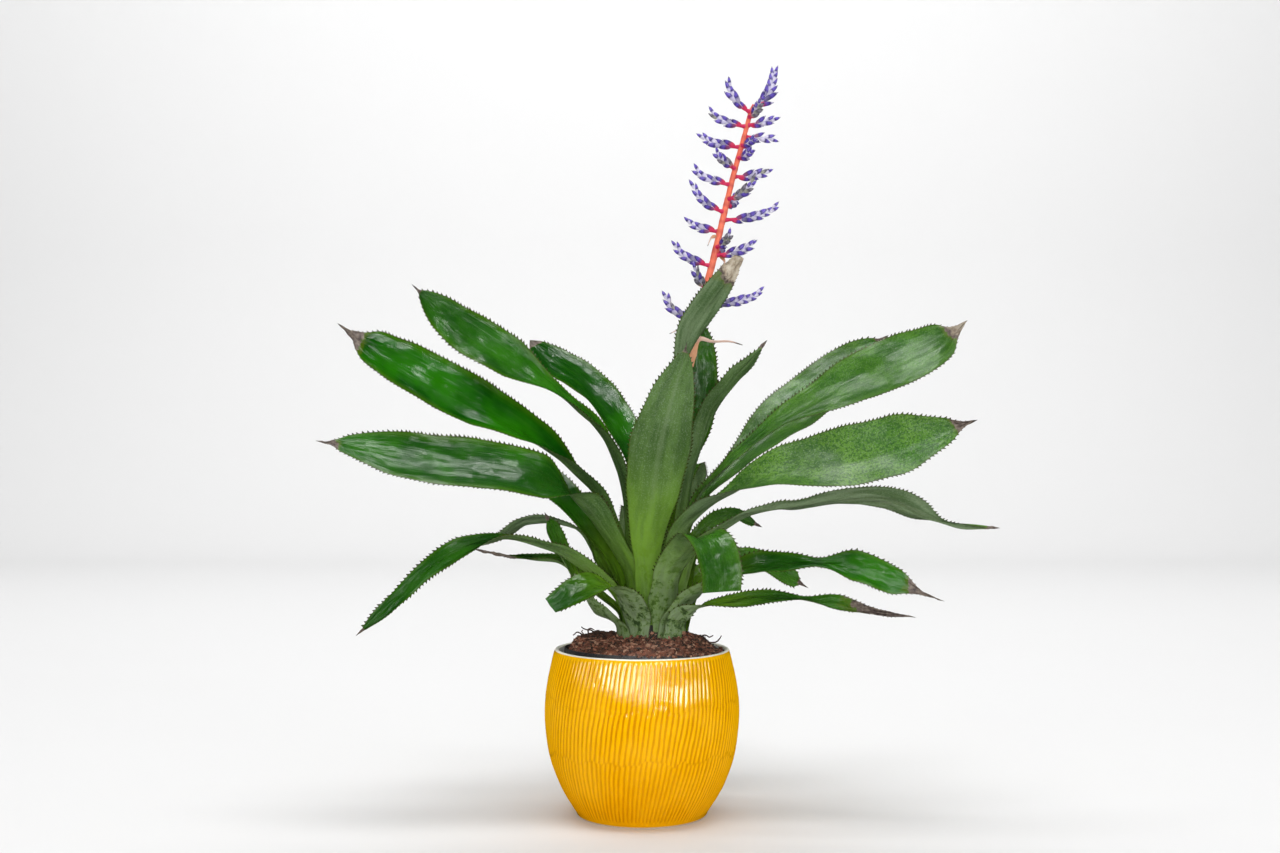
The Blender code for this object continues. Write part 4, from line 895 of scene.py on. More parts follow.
def leaf_finish(settings):
    """Strap leaf: glossy above, dull and scurfy below, pale at the crown and dry at its tip."""
    nodes = Finish("strap_leaf")
    upper = nodes.mark("upper")
    scurf = nodes.mark("scurf")
    aged = nodes.mark("aged")
    aside = nodes.size(nodes.mark("across"))
    veins = nodes.noise(1.0, 4.0, 0.60, nodes.leaf_place(9.0, 5.0))
    line = nodes.step(veins, 0.50, 0.68)
    streaks = nodes.step(nodes.noise(1.0, 3.0, 0.55, nodes.leaf_place(2.6, 6.0)), 0.36, 0.64)
    broad, speckle = nodes.mottle(34.0, 900.0, 0.85)
    coarse = nodes.noise(500.0, 3.0, 0.65)

    # Upper face
    green = nodes.tint(settings.upper, settings.fresh, nodes.step(nodes.noise(17.0), 0.40, 0.70))
    green = nodes.tint(green, UPPER_LINE, line, 0.22)
    green = nodes.tint(green, UPPER_MARGIN, nodes.step(aside, 0.70, 0.98), 0.40)
    green = nodes.tint(green, UPPER_FILM, scurf, nodes.between(broad, 0.35, 0.90))
    green = nodes.tint(green, settings.scurf, speckle, nodes.times(scurf, 0.45))
    green = nodes.tint(green, UPPER_PIT, nodes.step(coarse, 0.48, 0.58), nodes.times(scurf, 0.72))

    # Under face
    under = nodes.tint(settings.under, UNDER_SCURF, scurf, 0.9)
    under = nodes.tint(under, UNDER_STREAK, streaks, 0.70)
    under = nodes.tint(under, UNDER_LINE, line, 0.30)
    under = nodes.tint(under, settings.scurf, speckle, 0.36)
    under = nodes.tint(under, UNDER_PIT, nodes.step(coarse, 0.46, 0.72), 0.34)
    under = nodes.tint(under, UNDER_MIDDLE, nodes.step(aside, 0.0, 0.14, 1.0, 0.0), 0.34)

    # Sheath and margins
    skin = nodes.tint(under, green, upper)
    clear = nodes.between(streaks, 1.0, 0.70)
    skin = nodes.tint(skin, settings.sheath, nodes.mark("sheath"), clear)
    blotch = nodes.step(nodes.noise(135.0, 5.0, 0.70), 0.46, 0.62)
    skin = nodes.tint(skin, SHEATH_BLOTCH, nodes.times(aged, blotch), 0.92)
    unblotched = nodes.math("SUBTRACT", 1.0, blotch)
    skin = nodes.tint(skin, SHEATH_FADED, nodes.times(aged, unblotched), 0.80)
    rusty = nodes.ramp(nodes.noise(60.0), ((0.40, EDGE_GREEN), (0.58, EDGE_RUST)))
    skin = nodes.tint(skin, rusty, nodes.step(aside, 0.940, 0.990), 0.60)

    # Dry tip
    ragged = nodes.stray(nodes.mark("dry"), nodes.noise(150.0), 0.55)
    dried = nodes.step(ragged, 0.40, 0.48)
    husk = nodes.ramp(nodes.noise(300.0, 4.0, 0.7), (
        (0.30, settings.dead), (0.50, settings.dry), (0.76, HUSK_PALE)))
    paper = nodes.ramp(nodes.noise(170.0, 3.0, 0.6), (
        (0.32, PAPER_DARK), (0.50, PAPER_MIDDLE), (0.68, PAPER_PALE)))
    husk = nodes.tint(husk, paper, nodes.mark("bleach"), nodes.step(ragged, 0.50, 0.62))
    skin = nodes.tint(skin, LEAF_YELLOWED, nodes.step(ragged, 0.24, 0.42), 0.45)
    skin = nodes.tint(skin, husk, dried)

    # Gloss and relief
    rough = nodes.new("ShaderNodeMix", data_type="FLOAT")
    nodes.feed(rough.inputs[0], upper)
    nodes.feed(rough.inputs[2], nodes.step(coarse, 0.2, 0.8, 0.44, 0.60))
    nodes.feed(rough.inputs[3], nodes.total(nodes.between(streaks, 0.14, 0.23),
                                            nodes.times(scurf, 0.24)))
    grain = nodes.math("SUBTRACT", 0.30, nodes.times(upper, 0.22))
    relief = nodes.total(nodes.times(veins, 2.2), nodes.times(nodes.noise(130.0), 0.5),
                         nodes.times(speckle, grain))
    swell = nodes.bump(nodes.noise(1.0, 2.0, 0.5, nodes.leaf_place(1.1, 9.0)), 1.0, 0.0050)
    return nodes.wear(
        Base_Color=nodes.tint(skin, SPINE, nodes.mark("spine")),
        Roughness=nodes.math("ADD", rough.outputs[0], nodes.times(dried, 0.4), True),
        Specular_IOR_Level=0.23,
        Normal=nodes.bump(relief, 0.55, 0.00035, swell))


def stalk_finish(settings):
    """Coral stalk, redder at its joints, with fine lengthwise lines."""
    nodes = Finish("coral_stalk")
    broad, speckle = nodes.mottle(60.0, 1000.0, 0.4)
    line, height = nodes.fibres(9.0, 0.5)
    colour = nodes.tint(settings.stalk, STALK_LIGHT, broad, 0.40)
    colour = nodes.tint(colour, STALK_LINE, line, 0.30)
    colour = nodes.tint(colour, STALK_JOINT, nodes.mark("joint"))
    return nodes.wear(
        Base_Color=nodes.tint(colour, STALK_SPECK, speckle, 0.25),
        Roughness=nodes.between(broad, 0.34, 0.52),
        Specular_IOR_Level=0.25,
        Normal=nodes.bump(height, 0.35, 0.0002))


def floret_finish(settings):
    """Violet-blue florets with a pale foot, dark ends and a crimson stalk. The lower ones are
    darker at the foot, and some are withered."""
    nodes = Finish("violet_floret")
    broad, _ = nodes.mottle(240.0, 1700.0, 0.5)
    line, height = nodes.fibres(3.0, 0.7)
    bloom = nodes.stray(nodes.mark("bloom"), nodes.noise(420.0, 2.0), 0.16)
    petal = nodes.ramp(bloom, (
        (0.0, settings.pale), (0.28, PETAL_PALE), (0.35, PETAL_SOFT), (0.42, settings.navy),
        (0.50, PETAL_DEEP), (0.58, settings.violet), (0.76, PETAL_CLEAR), (0.85, settings.navy),
        (0.92, PETAL_RIM), (0.97, PETAL_END)))
    lower = nodes.ramp(bloom, (
        (0.0, PETAL_LOW), (0.35, settings.navy), (0.55, settings.violet), (0.80, settings.navy),
        (0.90, PETAL_SOFT), (0.97, PETAL_END)))
    petal = nodes.tint(petal, PETAL_LINE, line, 0.22)
    petal = nodes.tint(petal, PETAL_CLOUD, broad, 0.18)
    petal = nodes.tint(petal, lower, nodes.mark("lower"))
    petal = nodes.tint(petal, nodes.ramp(bloom, WITHERED_RAMP), nodes.mark("withered"))
    foot = nodes.tint(settings.joint, FOOT_CRIMSON, broad)
    return nodes.wear(
        Base_Color=nodes.tint(petal, foot, nodes.mark("foot")),
        Roughness=nodes.between(broad, 0.42, 0.62),
        Specular_IOR_Level=0.2,
        Normal=nodes.bump(height, 0.4, 0.0002))


def bract_finish(settings):
    """Dry, papery bract with fibres and browned ends."""
    nodes = Finish("papery_bract")
    broad, _ = nodes.mottle(120.0, 900.0, 0.5)
    line, height = nodes.fibres(5.0, 0.9)
    along = nodes.mark("along")
    colour = nodes.tint(settings.bract, BRACT_LIGHT, broad, 0.45)
    colour = nodes.tint(colour, BRACT_LINE, line, 0.45)
    colour = nodes.tint(colour, settings.strand, nodes.step(along, 0.38, 0.55))
    return nodes.wear(
        Base_Color=nodes.tint(colour, BRACT_END, nodes.step(along, 0.86, 0.95)),
        Roughness=nodes.between(broad, 0.65, 0.9),
        Normal=nodes.bump(height, 0.6, 0.0003))


def floor_finish(settings):
    """Pale, matt floor, faintly uneven."""
    nodes = Finish("pale_floor")
    broad, _ = nodes.mottle(3.0, 200.0, 0.2)
    colour = nodes.tint(settings.floor, FLOOR_CLOUD, broad, 0.04)
    return nodes.wear(Base_Color=colour, Roughness=0.85)


def clamp(value):
    """The value, kept between 0 and 1."""
    return min(1.0, max(0.0, value))


def smooth(value):
    """0 below 0, 1 above 1, and a smooth rise between."""
    value = clamp(value)
    return value * value * (3 - 2 * value)


def noise_at(*spot):
    """Gradient noise, from about -1 to 1."""
    return noise.noise(Vector(spot))


def read_table(table, spot):
    """The value at a spot, straight between the rows of a table of spots and values."""
    spots, values = zip(*table)
    return float(np.interp(spot, spots, values))


def metres(rows):
    """Places in metres, from rows in millimetres."""
    return [Vector(row) * MM for row in rows]


def heading(points, index):
    """Direction of a line of points at one of them."""
    return (points[min(index + 1, len(points) - 1)] - points[max(index - 1, 0)]).normalized()


def add_object(name, data):
    """A new object in the scene."""
    item = bpy.data.objects.new(name, data)
    bpy.context.scene.collection.objects.link(item)
    return item


def piece(name, points, faces, finish, nodes=(), marks=None, sharp=50):
    """A mesh object from points and faces, with float marks, that rides on the part."""
    mesh = bpy.data.meshes.new(name)
    mesh.from_pydata([tuple(point) for point in points], [], faces)
    mesh.materials.append(finish)
    for label, values in (marks or {}).items():
        layer = mesh.attributes.new(label, "FLOAT", "POINT")
        layer.data.foreach_set("value", np.asarray(values, np.float32))
    mesh.shade_smooth()
    mesh.set_sharp_from_angle(angle=math.radians(sharp))
    mesh.update()
    item = add_object(name, mesh)
    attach(item, "root")
    if nodes:
        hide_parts(*nodes)


def path_samples(points, count, crowding=1.0):
    """Places on a smooth curve through the points, evenly spaced or crowded towards its end, the
    share of the length at each, and the length."""
    knots = [Vector(point) for point in points]
    tangents = []
    for index in range(len(knots)):
        before = knots[max(index - 1, 0)]
        after = knots[min(index + 1, len(knots) - 1)]
        run = (knots[index] - before).length + (after - knots[index]).length
        tangents.append((after - before) / run)
    dense = []
    for index in range(len(knots) - 1):
        start, end = knots[index], knots[index + 1]
        length = (end - start).length
        for step in range(16):
            t = step / 16
            a = 2 * t**3 - 3 * t**2 + 1
            b = t**3 - 2 * t**2 + t
            c = -2 * t**3 + 3 * t**2
            d = t**3 - t**2
            dense.append(a * start + b * length * tangents[index]
                         + c * end + d * length * tangents[index + 1])
    dense.append(knots[-1])
    reach = [0.0]
    for one, two in zip(dense, dense[1:]):
        reach.append(reach[-1] + (two - one).length)
    shares = [1 - (1 - step / (count - 1)) ** crowding for step in range(count)]
    wanted = [reach[-1] * share for share in shares]
    columns = [np.interp(wanted, reach, [point[axis] for point in dense]) for axis in range(3)]
    return [Vector(values) for values in zip(*columns)], shares, reach[-1]


def grid_faces(rows, columns, closed=False, start=0):
    """Quads of a grid of points, row by row; closed joins the last column to the first."""
    faces = []
    for row in range(start, start + (rows - 1) * columns, columns):
        above = row + columns
        for column in range(columns if closed else columns - 1):
            beside = (column + 1) % columns
            faces.append((row + column, row + beside, above + beside, above + column))
    return faces


def ring(radius, sides):
    """Places x, y round Z."""
    turns = [math.tau * side / sides for side in range(sides)]
    return [(radius * math.cos(turn), radius * math.sin(turn)) for turn in turns]


def turned(profile, sides, floor, foot):
    """Points and faces of a profile turned round Z, from the inside to the outside. It is closed by
    a point on the axis at each end: on the floor inside and under the foot."""
    points = [(x, y, height) for radius, height in profile for x, y in ring(radius, sides)]
    faces = [face[::-1] for face in grid_faces(len(profile), sides, True)]
    centre = len(points)
    last = centre - sides
    for side in range(sides):
        beside = (side + 1) % sides
        faces.append((side, beside, centre))
        faces.append((last + beside, last + side, centre + 1))
    return points + [(0.0, 0.0, floor), (0.0, 0.0, foot)], faces


def tube_faces(rows, sides, start):
    """Faces of a row of rings, with a flat face at each end."""
    first = tuple(range(start, start + sides))
    last = tuple(range(start + (rows - 1) * sides, start + rows * sides))
    return grid_faces(rows, sides, True, start) + [first[::-1], last]


def tube(points, radii, sides, start=0):
    """Points and faces of a closed tube round a line of points."""
    rings = []
    side = (points[1] - points[0]).normalized().cross(Vector((0.31, 0.87, 0.39))).normalized()
    for index, middle in enumerate(points):
        along = heading(points, index)
        side = (side - along * side.dot(along)).normalized()
        other = along.cross(side)
        rings += [middle + (side * x + other * y) * radii[index] for x, y in ring(1.0, sides)]
    return rings, tube_faces(len(points), sides, start)


def two_skins(sheet, half):
    """Points, faces and normals of a thin blade: two skins, half its thickness off the sheet on
    either side and joined along both margins."""
    rows, columns = sheet.shape[:2]
    count = rows * columns
    normals = np.cross(np.gradient(sheet, axis=1), np.gradient(sheet, axis=0))
    normals /= np.maximum(np.linalg.norm(normals, axis=2, keepdims=True), 1e-12)
    points = [tuple(point) for skin in (sheet + normals * half, sheet - normals * half)
              for point in skin.reshape(-1, 3)]
    faces = grid_faces(rows, columns)
    faces += [face[::-1] for face in grid_faces(rows, columns, False, count)]
    right = columns - 1
    for a in range(0, count - columns, columns):
        b = a + columns
        faces.append((a, b, count + b, count + a))
        faces.append((a + right, count + a + right, count + b + right, b + right))
    return points, faces, normals


def blade_marks(shares, across):
    """Marks along and across both skins of a blade."""
    return {
        "along": np.tile(np.repeat(shares, len(across)), 2),
        "across": np.tile(across, 2 * len(shares)),
    }


def rib_field(turn, height, settings):
    """Height of the combed ribs, 0 in a groove to 1 on a rib, at an angle and a height."""
    count = settings.rib_count
    rib = math.floor((turn / math.tau) * count)
    x, y = math.cos(turn), math.sin(turn)
    for index, (low, lean, shift) in enumerate(COMB_TIERS):
        slope = math.tan(math.radians(lean)) / POT_GIRTH
        waver = 0.55 * noise_at(5 * x, 5 * y, 28 * height + 9 * index)
        waver += 0.30 * noise_at(23 * x, 23 * y, 60 * height)
        phase = count * (turn - slope * (height - low * MM)) + math.tau * (shift + 0.45 * waver)
        ridge = (0.5 + 0.5 * math.cos(phase)) ** RIB_ROUNDNESS
        if index == 0:
            level = ridge
            continue
        border = low * MM + TIER_RAGGED * noise_at(rib * 0.37, index * 3.1, 0.5)
        share = smooth((height - border) / TIER_FADE + 0.5)
        level = level * (1 - share) + ridge * share
        level *= 1 - TIER_DIP_DEPTH * math.exp(-((height - border) / TIER_DIP) ** 2)
    return level * (1.0 + 0.25 * noise_at(rib * 0.61, 7.7, height * 12))


def build_pot(settings):
    """The ceramic pot: combed outer wall, rounded lip, smooth inside and flat foot."""
    outer, _, _ = path_samples([(r * MM, 0, z * MM) for r, z in POT_PROFILE], POT_ROWS)
    inner, _, _ = path_samples([(r * MM, 0, z * MM) for r, z in POT_INSIDE], POT_INNER_ROWS)
    lip_inside = POT_MOUTH_RADIUS - 0.8 * POT_WALL
    lip = [(lip_inside, POT_HEIGHT - LIP_DROP), (lip_inside + LIP_BEVEL / 2, POT_HEIGHT - 0.0001),
           (lip_inside + LIP_BEVEL, POT_HEIGHT), (POT_MOUTH_RADIUS - LIP_BEVEL, POT_HEIGHT),
           (POT_MOUTH_RADIUS - LIP_BEVEL / 3, POT_HEIGHT - LIP_DROP)]
    profile = [(POT_FLOOR_RING, POT_FLOOR)] + [(p.x, p.z) for p in inner] + lip
    first_lip, first_outer = len(profile) - len(lip), len(profile)
    profile += [(p.x, p.z) for p in outer] + [(POT_FOOT_RING, 0.0)]
    sides = settings.rib_count * RIB_CELLS
    points, faces = turned(profile, sides, POT_FLOOR, 0.0)
    marks = {"groove": [], "lip": [], "inside": []}
    for index, (x, y, z) in enumerate(points):
        row = index // sides
        inside = row < first_lip or (row == len(profile) and z > 0)
        groove = 0.0
        if first_outer <= row < len(profile) and RIB_LOW < z < RIB_HIGH + 0.001:
            turn = math.atan2(y, x)
            ragged = RIB_RAGGED * noise_at(9 * math.cos(turn), 9 * math.sin(turn), 2.0)
            ends = smooth((z - RIB_LOW) / RIB_FADE) * smooth((RIB_HIGH + ragged - z) / TIER_FADE)
            level = rib_field(turn, z, settings)
            uneven = WALL_UNEVEN * noise_at(30 * x, 30 * y, 30 * z)
            lift = settings.rib_depth * (level - RIB_MEAN) * ends + uneven
            radius = math.hypot(x, y)
            scale = (radius + lift) / radius
            points[index] = (x * scale, y * scale, z)
            groove = (1.0 - level) * ends
        marks["groove"].append(groove)
        marks["lip"].append(0.0 if inside else smooth((z - (POT_HEIGHT - LIP_DEPTH)) / LIP_FADE))
        marks["inside"].append(float(inside))
    piece("ceramic_pot", points, faces, glaze_finish(settings), ("pot",), marks, 40)


def rim_lift(x, y):
    """How far the grower pot's rim stands up on its high side."""
    return LINER_TILT * (0.5 + 0.5 * math.cos(math.atan2(y, x) - LINER_HIGH_SIDE))


def build_liner(settings):
    """The grower pot: thin wall, wider band at the top and a rolled rim."""
    floor = POT_FLOOR + GAP
    band = LINER_TOP - LINER_BAND
    shoulder = LINER_TOP_RADIUS - LINER_STEP
    inner = [(LINER_FOOT_RADIUS - LINER_WALL, floor + LINER_WALL), (shoulder - LINER_WALL, band)]
    rim = [(LINER_TOP_RADIUS - LINER_WALL, LINER_TOP - 0.0006),
           (LINER_TOP_RADIUS - 0.0009, LINER_TOP), (LINER_TOP_RADIUS - 0.0003, LINER_TOP),
           (LINER_TOP_RADIUS, LINER_TOP - 0.0005)]
    outer = [(LINER_TOP_RADIUS, band + 0.0015), (LINER_TOP_RADIUS - 0.0004, band + 0.0005),
             (shoulder, band), (LINER_FOOT_RADIUS + 0.001, floor + 0.002),
             (LINER_FOOT_RADIUS, floor)]
    points, faces = turned(inner + rim + outer, LINER_SIDES, floor + LINER_WALL, floor)
    points = [(x, y, z + rim_lift(x, y) if z > band - 0.0001 else z) for x, y, z in points]
    piece("grower_pot", points, faces, plastic_finish(settings), ("liner",),
          sharp=35)


def soil_height(x, y):
    """Top of the soil, heaped and lumpy."""
    radius = math.hypot(x, y)
    lumps = SOIL_LUMPS * noise_at(70 * x, 70 * y, 1.3)
    lumps += SOIL_GRAIN * noise_at(210 * x, 210 * y, 4.0)
    heap = SOIL_HEAP * smooth((-x - 0.018) / 0.030) * smooth((y + 0.030) / 0.040)
    edge = smooth((SOIL_RADIUS - radius) / 0.010)
    return read_table(SOIL_PROFILE, radius / MM) * MM + (lumps + heap) * edge


def painted_back_shade(x, y):
    """Share of its tone that the compost keeps: all of it in front, less towards the back, where
    the leaves overhang it. This darkening is painted shade.
    """
    return 1.0 - 0.72 * smooth((y + 0.012 + 0.012 * noise_at(60 * x, 60 * y, 2.0)) / 0.022)


def build_bed(finish):
    """The soil in the grower pot, with a lumpy top."""
    points = [(0.0, 0.0, soil_height(0.0, 0.0))]
    for step in range(1, SOIL_RINGS + 1):
        places = ring(SOIL_RADIUS * step / SOIL_RINGS, SOIL_SIDES)
        points += [(x, y, soil_height(x, y)) for x, y in places]
    points += [(x, y, SOIL_SHOULDER) for x, y in ring(SOIL_RADIUS - 0.001, SOIL_SIDES)]
    points += [(x, y, SOIL_FOOT) for x, y in ring(LINER_FOOT_RADIUS - 0.003, SOIL_SIDES)]
    faces = [(0, 1 + side, 1 + (side + 1) % SOIL_SIDES) for side in range(SOIL_SIDES)]
    faces += [face[::-1] for face in grid_faces(SOIL_RINGS + 2, SOIL_SIDES, True, 1)]
    faces.append(tuple(range(len(points) - SOIL_SIDES, len(points)))[::-1])
    # Painted shade: the bed darkens towards the back
    shades = [(0.36 + 0.40 * noise_at(160 * x, 160 * y, 8.0)) * painted_back_shade(x, y)
              for x, y, _ in points]
    piece("soil_bed", points, faces, finish, ("soil",), {"shade": shades}, 70)


def crumb(rng, middle, size, stretch):
    """Corners of an irregular lump: those of a box, pushed about."""
    turn = Matrix.Rotation(rng.uniform(0, math.tau), 3, "Z")
    turn = turn @ Matrix.Rotation(rng.uniform(0, math.pi), 3, "X")
    corners = []
    for x in (-1, 1):
        for y in (-1, 1):
            for z in (-1, 1):
                corner = Vector((x * stretch[0], y * stretch[1], z * stretch[2]))
                corner *= 0.5 * size * rng.uniform(0.45, 1.0)
                corners.append(middle + turn @ corner)
    return corners


def build_crumbs(settings, finish):
    """Loose crumbs and chips of bark, heaped round the plant's foot and spilled over the rim."""
    rng = random.Random(11)
    points, faces, shades = [], [], []
    first_collar = settings.crumbs + settings.chips
    for index in range(first_collar + settings.collar):
        spilled = index < settings.spilled
        chip = settings.crumbs <= index < first_collar
        radius = CRUMB_REACH * math.sqrt(rng.random())
        turn = rng.uniform(0, math.tau)
        if spilled:
            radius = rng.uniform(CRUMB_REACH - 0.003, SPILL_REACH)
            turn = rng.gauss(SPILL_SIDE, SPILL_SPREAD)
        x, y = radius * math.cos(turn), radius * math.sin(turn)
        size = settings.crumb_size * rng.uniform(0.28, 1.0) ** 1.4
        stretch = (1.0, rng.uniform(0.55, 1.0), rng.uniform(0.5, 0.9))
        if chip:
            size = settings.crumb_size * rng.uniform(0.9, 1.6)
            stretch = (1.0, rng.uniform(0.14, 0.36), rng.uniform(0.12, 0.26))
        if index >= first_collar:
            radius = COLLAR_RADIUS + COLLAR_WIDTH * rng.random()
            x, y = CROWN_X + radius * math.cos(turn), radius * math.sin(turn)
            size = settings.crumb_size * rng.uniform(0.45, 1.0)
        from_crown = math.hypot(x - CROWN_X, y)
        slope = clamp((COLLAR_RADIUS + COLLAR_WIDTH - from_crown) / COLLAR_WIDTH)
        piled = COLLAR_RISE * slope**1.4 * rng.random() ** 0.6
        rim = smooth((math.hypot(x, y) - 0.0585) / 0.004)
        level = soil_height(x, y)
        if spilled:
            size *= 0.9
            level = max(level, LINER_TOP + rim_lift(x, y))
        middle = Vector((x, y, level + (0.18 - 0.25 * rim) * size + piled))
        start = len(points)
        points += crumb(rng, middle, size, stretch)
        faces += [tuple(start + corner for corner in face) for face in CRUMB_FACES]
        shade = rng.random() ** (0.55 if chip else 1.0)
        if rng.random() < DARK_SHARE:
            shade *= 0.25
        # Painted shade: each crumb darkens towards the back, on top of its own tone
        shades += [shade * painted_back_shade(x, y)] * 8
    piece("soil_crumbs", points, faces, finish, marks={"shade": shades}, sharp=30)


def build_roots(finish):
    """Loose roots that stand out of the soil."""
    points, faces = [], []
    radii = [ROOT_RADIUS * (1 - 0.5 * step / (ROOT_ROWS - 1)) for step in range(ROOT_ROWS)]
    for table in ROOTS:
        line, _, _ = path_samples(metres(table), ROOT_ROWS)
        for spot in line:
            x, y, z = spot * 300
            spot += ROOT_WANDER * Vector((noise_at(x, 1, 1), noise_at(1, y, 2), noise_at(z, 2, 3)))
        more, extra = tube(line, radii, ROOT_SIDES, len(points))
        points += more
        faces += extra
    marks = {"shade": [ROOT_SHADE] * len(points)}
    piece("soil_roots", points, faces, finish, marks=marks, sharp=60)


def sheath_radius(rank, height):
    """Distance of a sheath from the crown's axis, by its rank and the height."""
    return SHEATH_CORE + SHEATH_STEP * rank + SHEATH_FLARE * (height - SHEATH_BASE)


def leaf_points(leaf):
    """The middle of a leaf: up its sheath, then through its own points."""
    own = metres(leaf.points)
    first = own[0]
    azimuth = math.atan2(first.y, first.x - CROWN_X)
    foot = SHEATH_BASE + (SHEATH_RANKS - leaf.rank) * SHEATH_RISE
    outward = Vector((math.cos(azimuth), math.sin(azimuth), 0.0))
    axis = Vector((CROWN_X, 0.0, 0.0))
    start = axis + outward * sheath_radius(leaf.rank, foot) + Vector((0, 0, foot))
    middle = foot + 0.45 * (first.z - foot)
    reach = sheath_radius(leaf.rank, middle)
    opening = math.hypot(first.x - CROWN_X, first.y) - reach
    reach += max(0.0, min(0.12 * opening, 0.6 * SHEATH_STEP))
    bend = axis + outward * reach + Vector((0, 0, middle))
    return [start, bend] + own, outward


def half_width(leaf, share, sheath_share, start_radius):
    """Half width along the arc, by the share of the leaf's length."""
    if share < sheath_share:
        sheath = start_radius * leaf.wrap
        return sheath + (leaf.neck * MM - sheath) * smooth(share / sheath_share)
    near_tip, at_tip = (leaf.half_width * taper for taper in leaf.taper)
    if leaf.cut:
        table = ((0, leaf.neck), (0.4, leaf.half_width), (0.75, near_tip), (1.0, at_tip))
    else:
        table = ((0, leaf.neck), (0.30, leaf.half_width * 0.86), (0.55, leaf.half_width),
                 (0.80, near_tip), (0.92, at_tip), (1.0, leaf.end))
    width = read_table(table, (share - sheath_share) / (1 - sheath_share)) * MM
    for place_at, lost, spread in leaf.waists:
        width *= 1 - lost * smooth(1 - abs(share - place_at) / spread)
    return width


def rounded_widths(leaf, shares, sheath_share, start_radius):
    """The half widths with the table's corners rounded off."""
    widths = []
    for share in shares:
        reach = min(WIDTH_ROUNDING, share, 1 - share)
        near = [half_width(leaf, share + reach * step, sheath_share, start_radius)
                for step in (-1.0, -0.5, 0.0, 0.5, 1.0)]
        widths.append(sum(near) / len(near))
    return widths


def curl(share, sheath_share, round_crown):
    """Half angle of the cross-section: that of the crown at the sheath, then ever flatter."""
    low, middle, high, tip = LEAF_CURL
    table = ((0.0, low), (sheath_share + 0.15, low), (sheath_share + 0.3, middle), (0.8, high),
             (1.0, tip))
    channel = math.radians(read_table(table, share))
    mix = smooth((share - 0.8 * sheath_share) / 0.18)
    return round_crown * (1 - mix) + channel * mix


def face_direction(leaf, share, outward):
    """Where the upper face looks: at the crown's axis on the sheath, then as the leaf says."""
    keys = [(0.0, *(-outward)), (0.12, *(-outward))] + list(leaf.faces)
    return Vector([read_table([(key[0], key[axis]) for key in keys], share) for axis in (1, 2, 3)])


def leaf_sheet(leaf):
    """The middle surface of a leaf as a grid of points, the share of its length at each row, its
    length, the sheath's share, how dry each row is and the point of its tip."""
    points, outward = leaf_points(leaf)
    middles, shares, length = path_samples(points, LEAF_ROWS, TIP_CROWDING)
    start_radius = sheath_radius(leaf.rank, points[0].z)
    sheath_share = min(0.40, 0.80 * (points[2] - points[0]).length / length)
    widths = rounded_widths(leaf, shares, sheath_share, start_radius)
    seed = 3.7 * (sum(ord(letter) for letter in leaf.name) % 97)
    sheet = np.zeros((LEAF_ROWS, LEAF_CELLS + 1, 3))
    dryness = np.zeros(LEAF_ROWS)
    for index, (middle, share) in enumerate(zip(middles, shares)):
        along = heading(middles, index)
        face = face_direction(leaf, share, outward)
        face = (face - along * face.dot(along)).normalized()
        arc = share * length
        left = (1 - share) * length
        free = smooth((share - sheath_share) / 0.20)
        width = widths[index] * (1 + WIDTH_STRAY * free * noise_at(arc * 34, seed, 0.0))
        if not leaf.cut:
            dryness[index] = smooth(1.0 - left / (1.9 * leaf.dry))
            shrivel = clamp(1 - left / leaf.dry)
            middle = middle + face * leaf.bend * shrivel**2
            face = Matrix.Rotation(leaf.turn * shrivel**1.5, 3, along) @ face
            width *= 1 - leaf.shrink * smooth(1.5 - left / leaf.dry)
            width *= 1 + DRY_WIDTH_STRAY * shrivel * noise_at(left * 260, seed, 3.0)
        side = along.cross(face)
        width *= 1 - (1 - leaf.foot) * (1 - smooth(arc / FOOT_SPAN))
        round_crown = width / math.hypot(middle.x - CROWN_X, middle.y)
        angle = curl(share, sheath_share, round_crown)
        radius = width / angle
        open_share = clamp((share - 0.5 * sheath_share) / sheath_share)
        sag = 0.55 * radius * (1 - math.cos(angle)) * open_share
        for column in range(LEAF_CELLS + 1):
            across = 2 * column / LEAF_CELLS - 1
            turn = angle * across
            rise = radius * (1 - math.cos(turn)) - sag
            ripple = EDGE_RIPPLE * abs(across) ** 2 * noise_at(arc * 42, across, seed)
            ripple += BROAD_RIPPLE * noise_at(arc * 26, across * 1.6, seed + 5)
            ripple += DRY_RIPPLE * dryness[index] * noise_at(arc * 150, across * 2.5, seed + 9)
            spot = middle + side * radius * math.sin(turn) + face * (rise + ripple * free)
            if index < FOOT_ROWS:
                fringe = FOOT_FRINGE * (1.2 + 1.3 * noise_at(across * 4.2, seed, 1.0))
                spot.z -= fringe * (1 - index / FOOT_ROWS)
            sheet[index, column] = spot
    hair = HAIR_LENGTH * (1 - 0.85 * leaf.bleach)
    tip = Vector(sheet[-1].mean(axis=0)) + (middles[-1] - middles[-3]).normalized() * hair
    return sheet, shares, length, sheath_share, dryness, tip


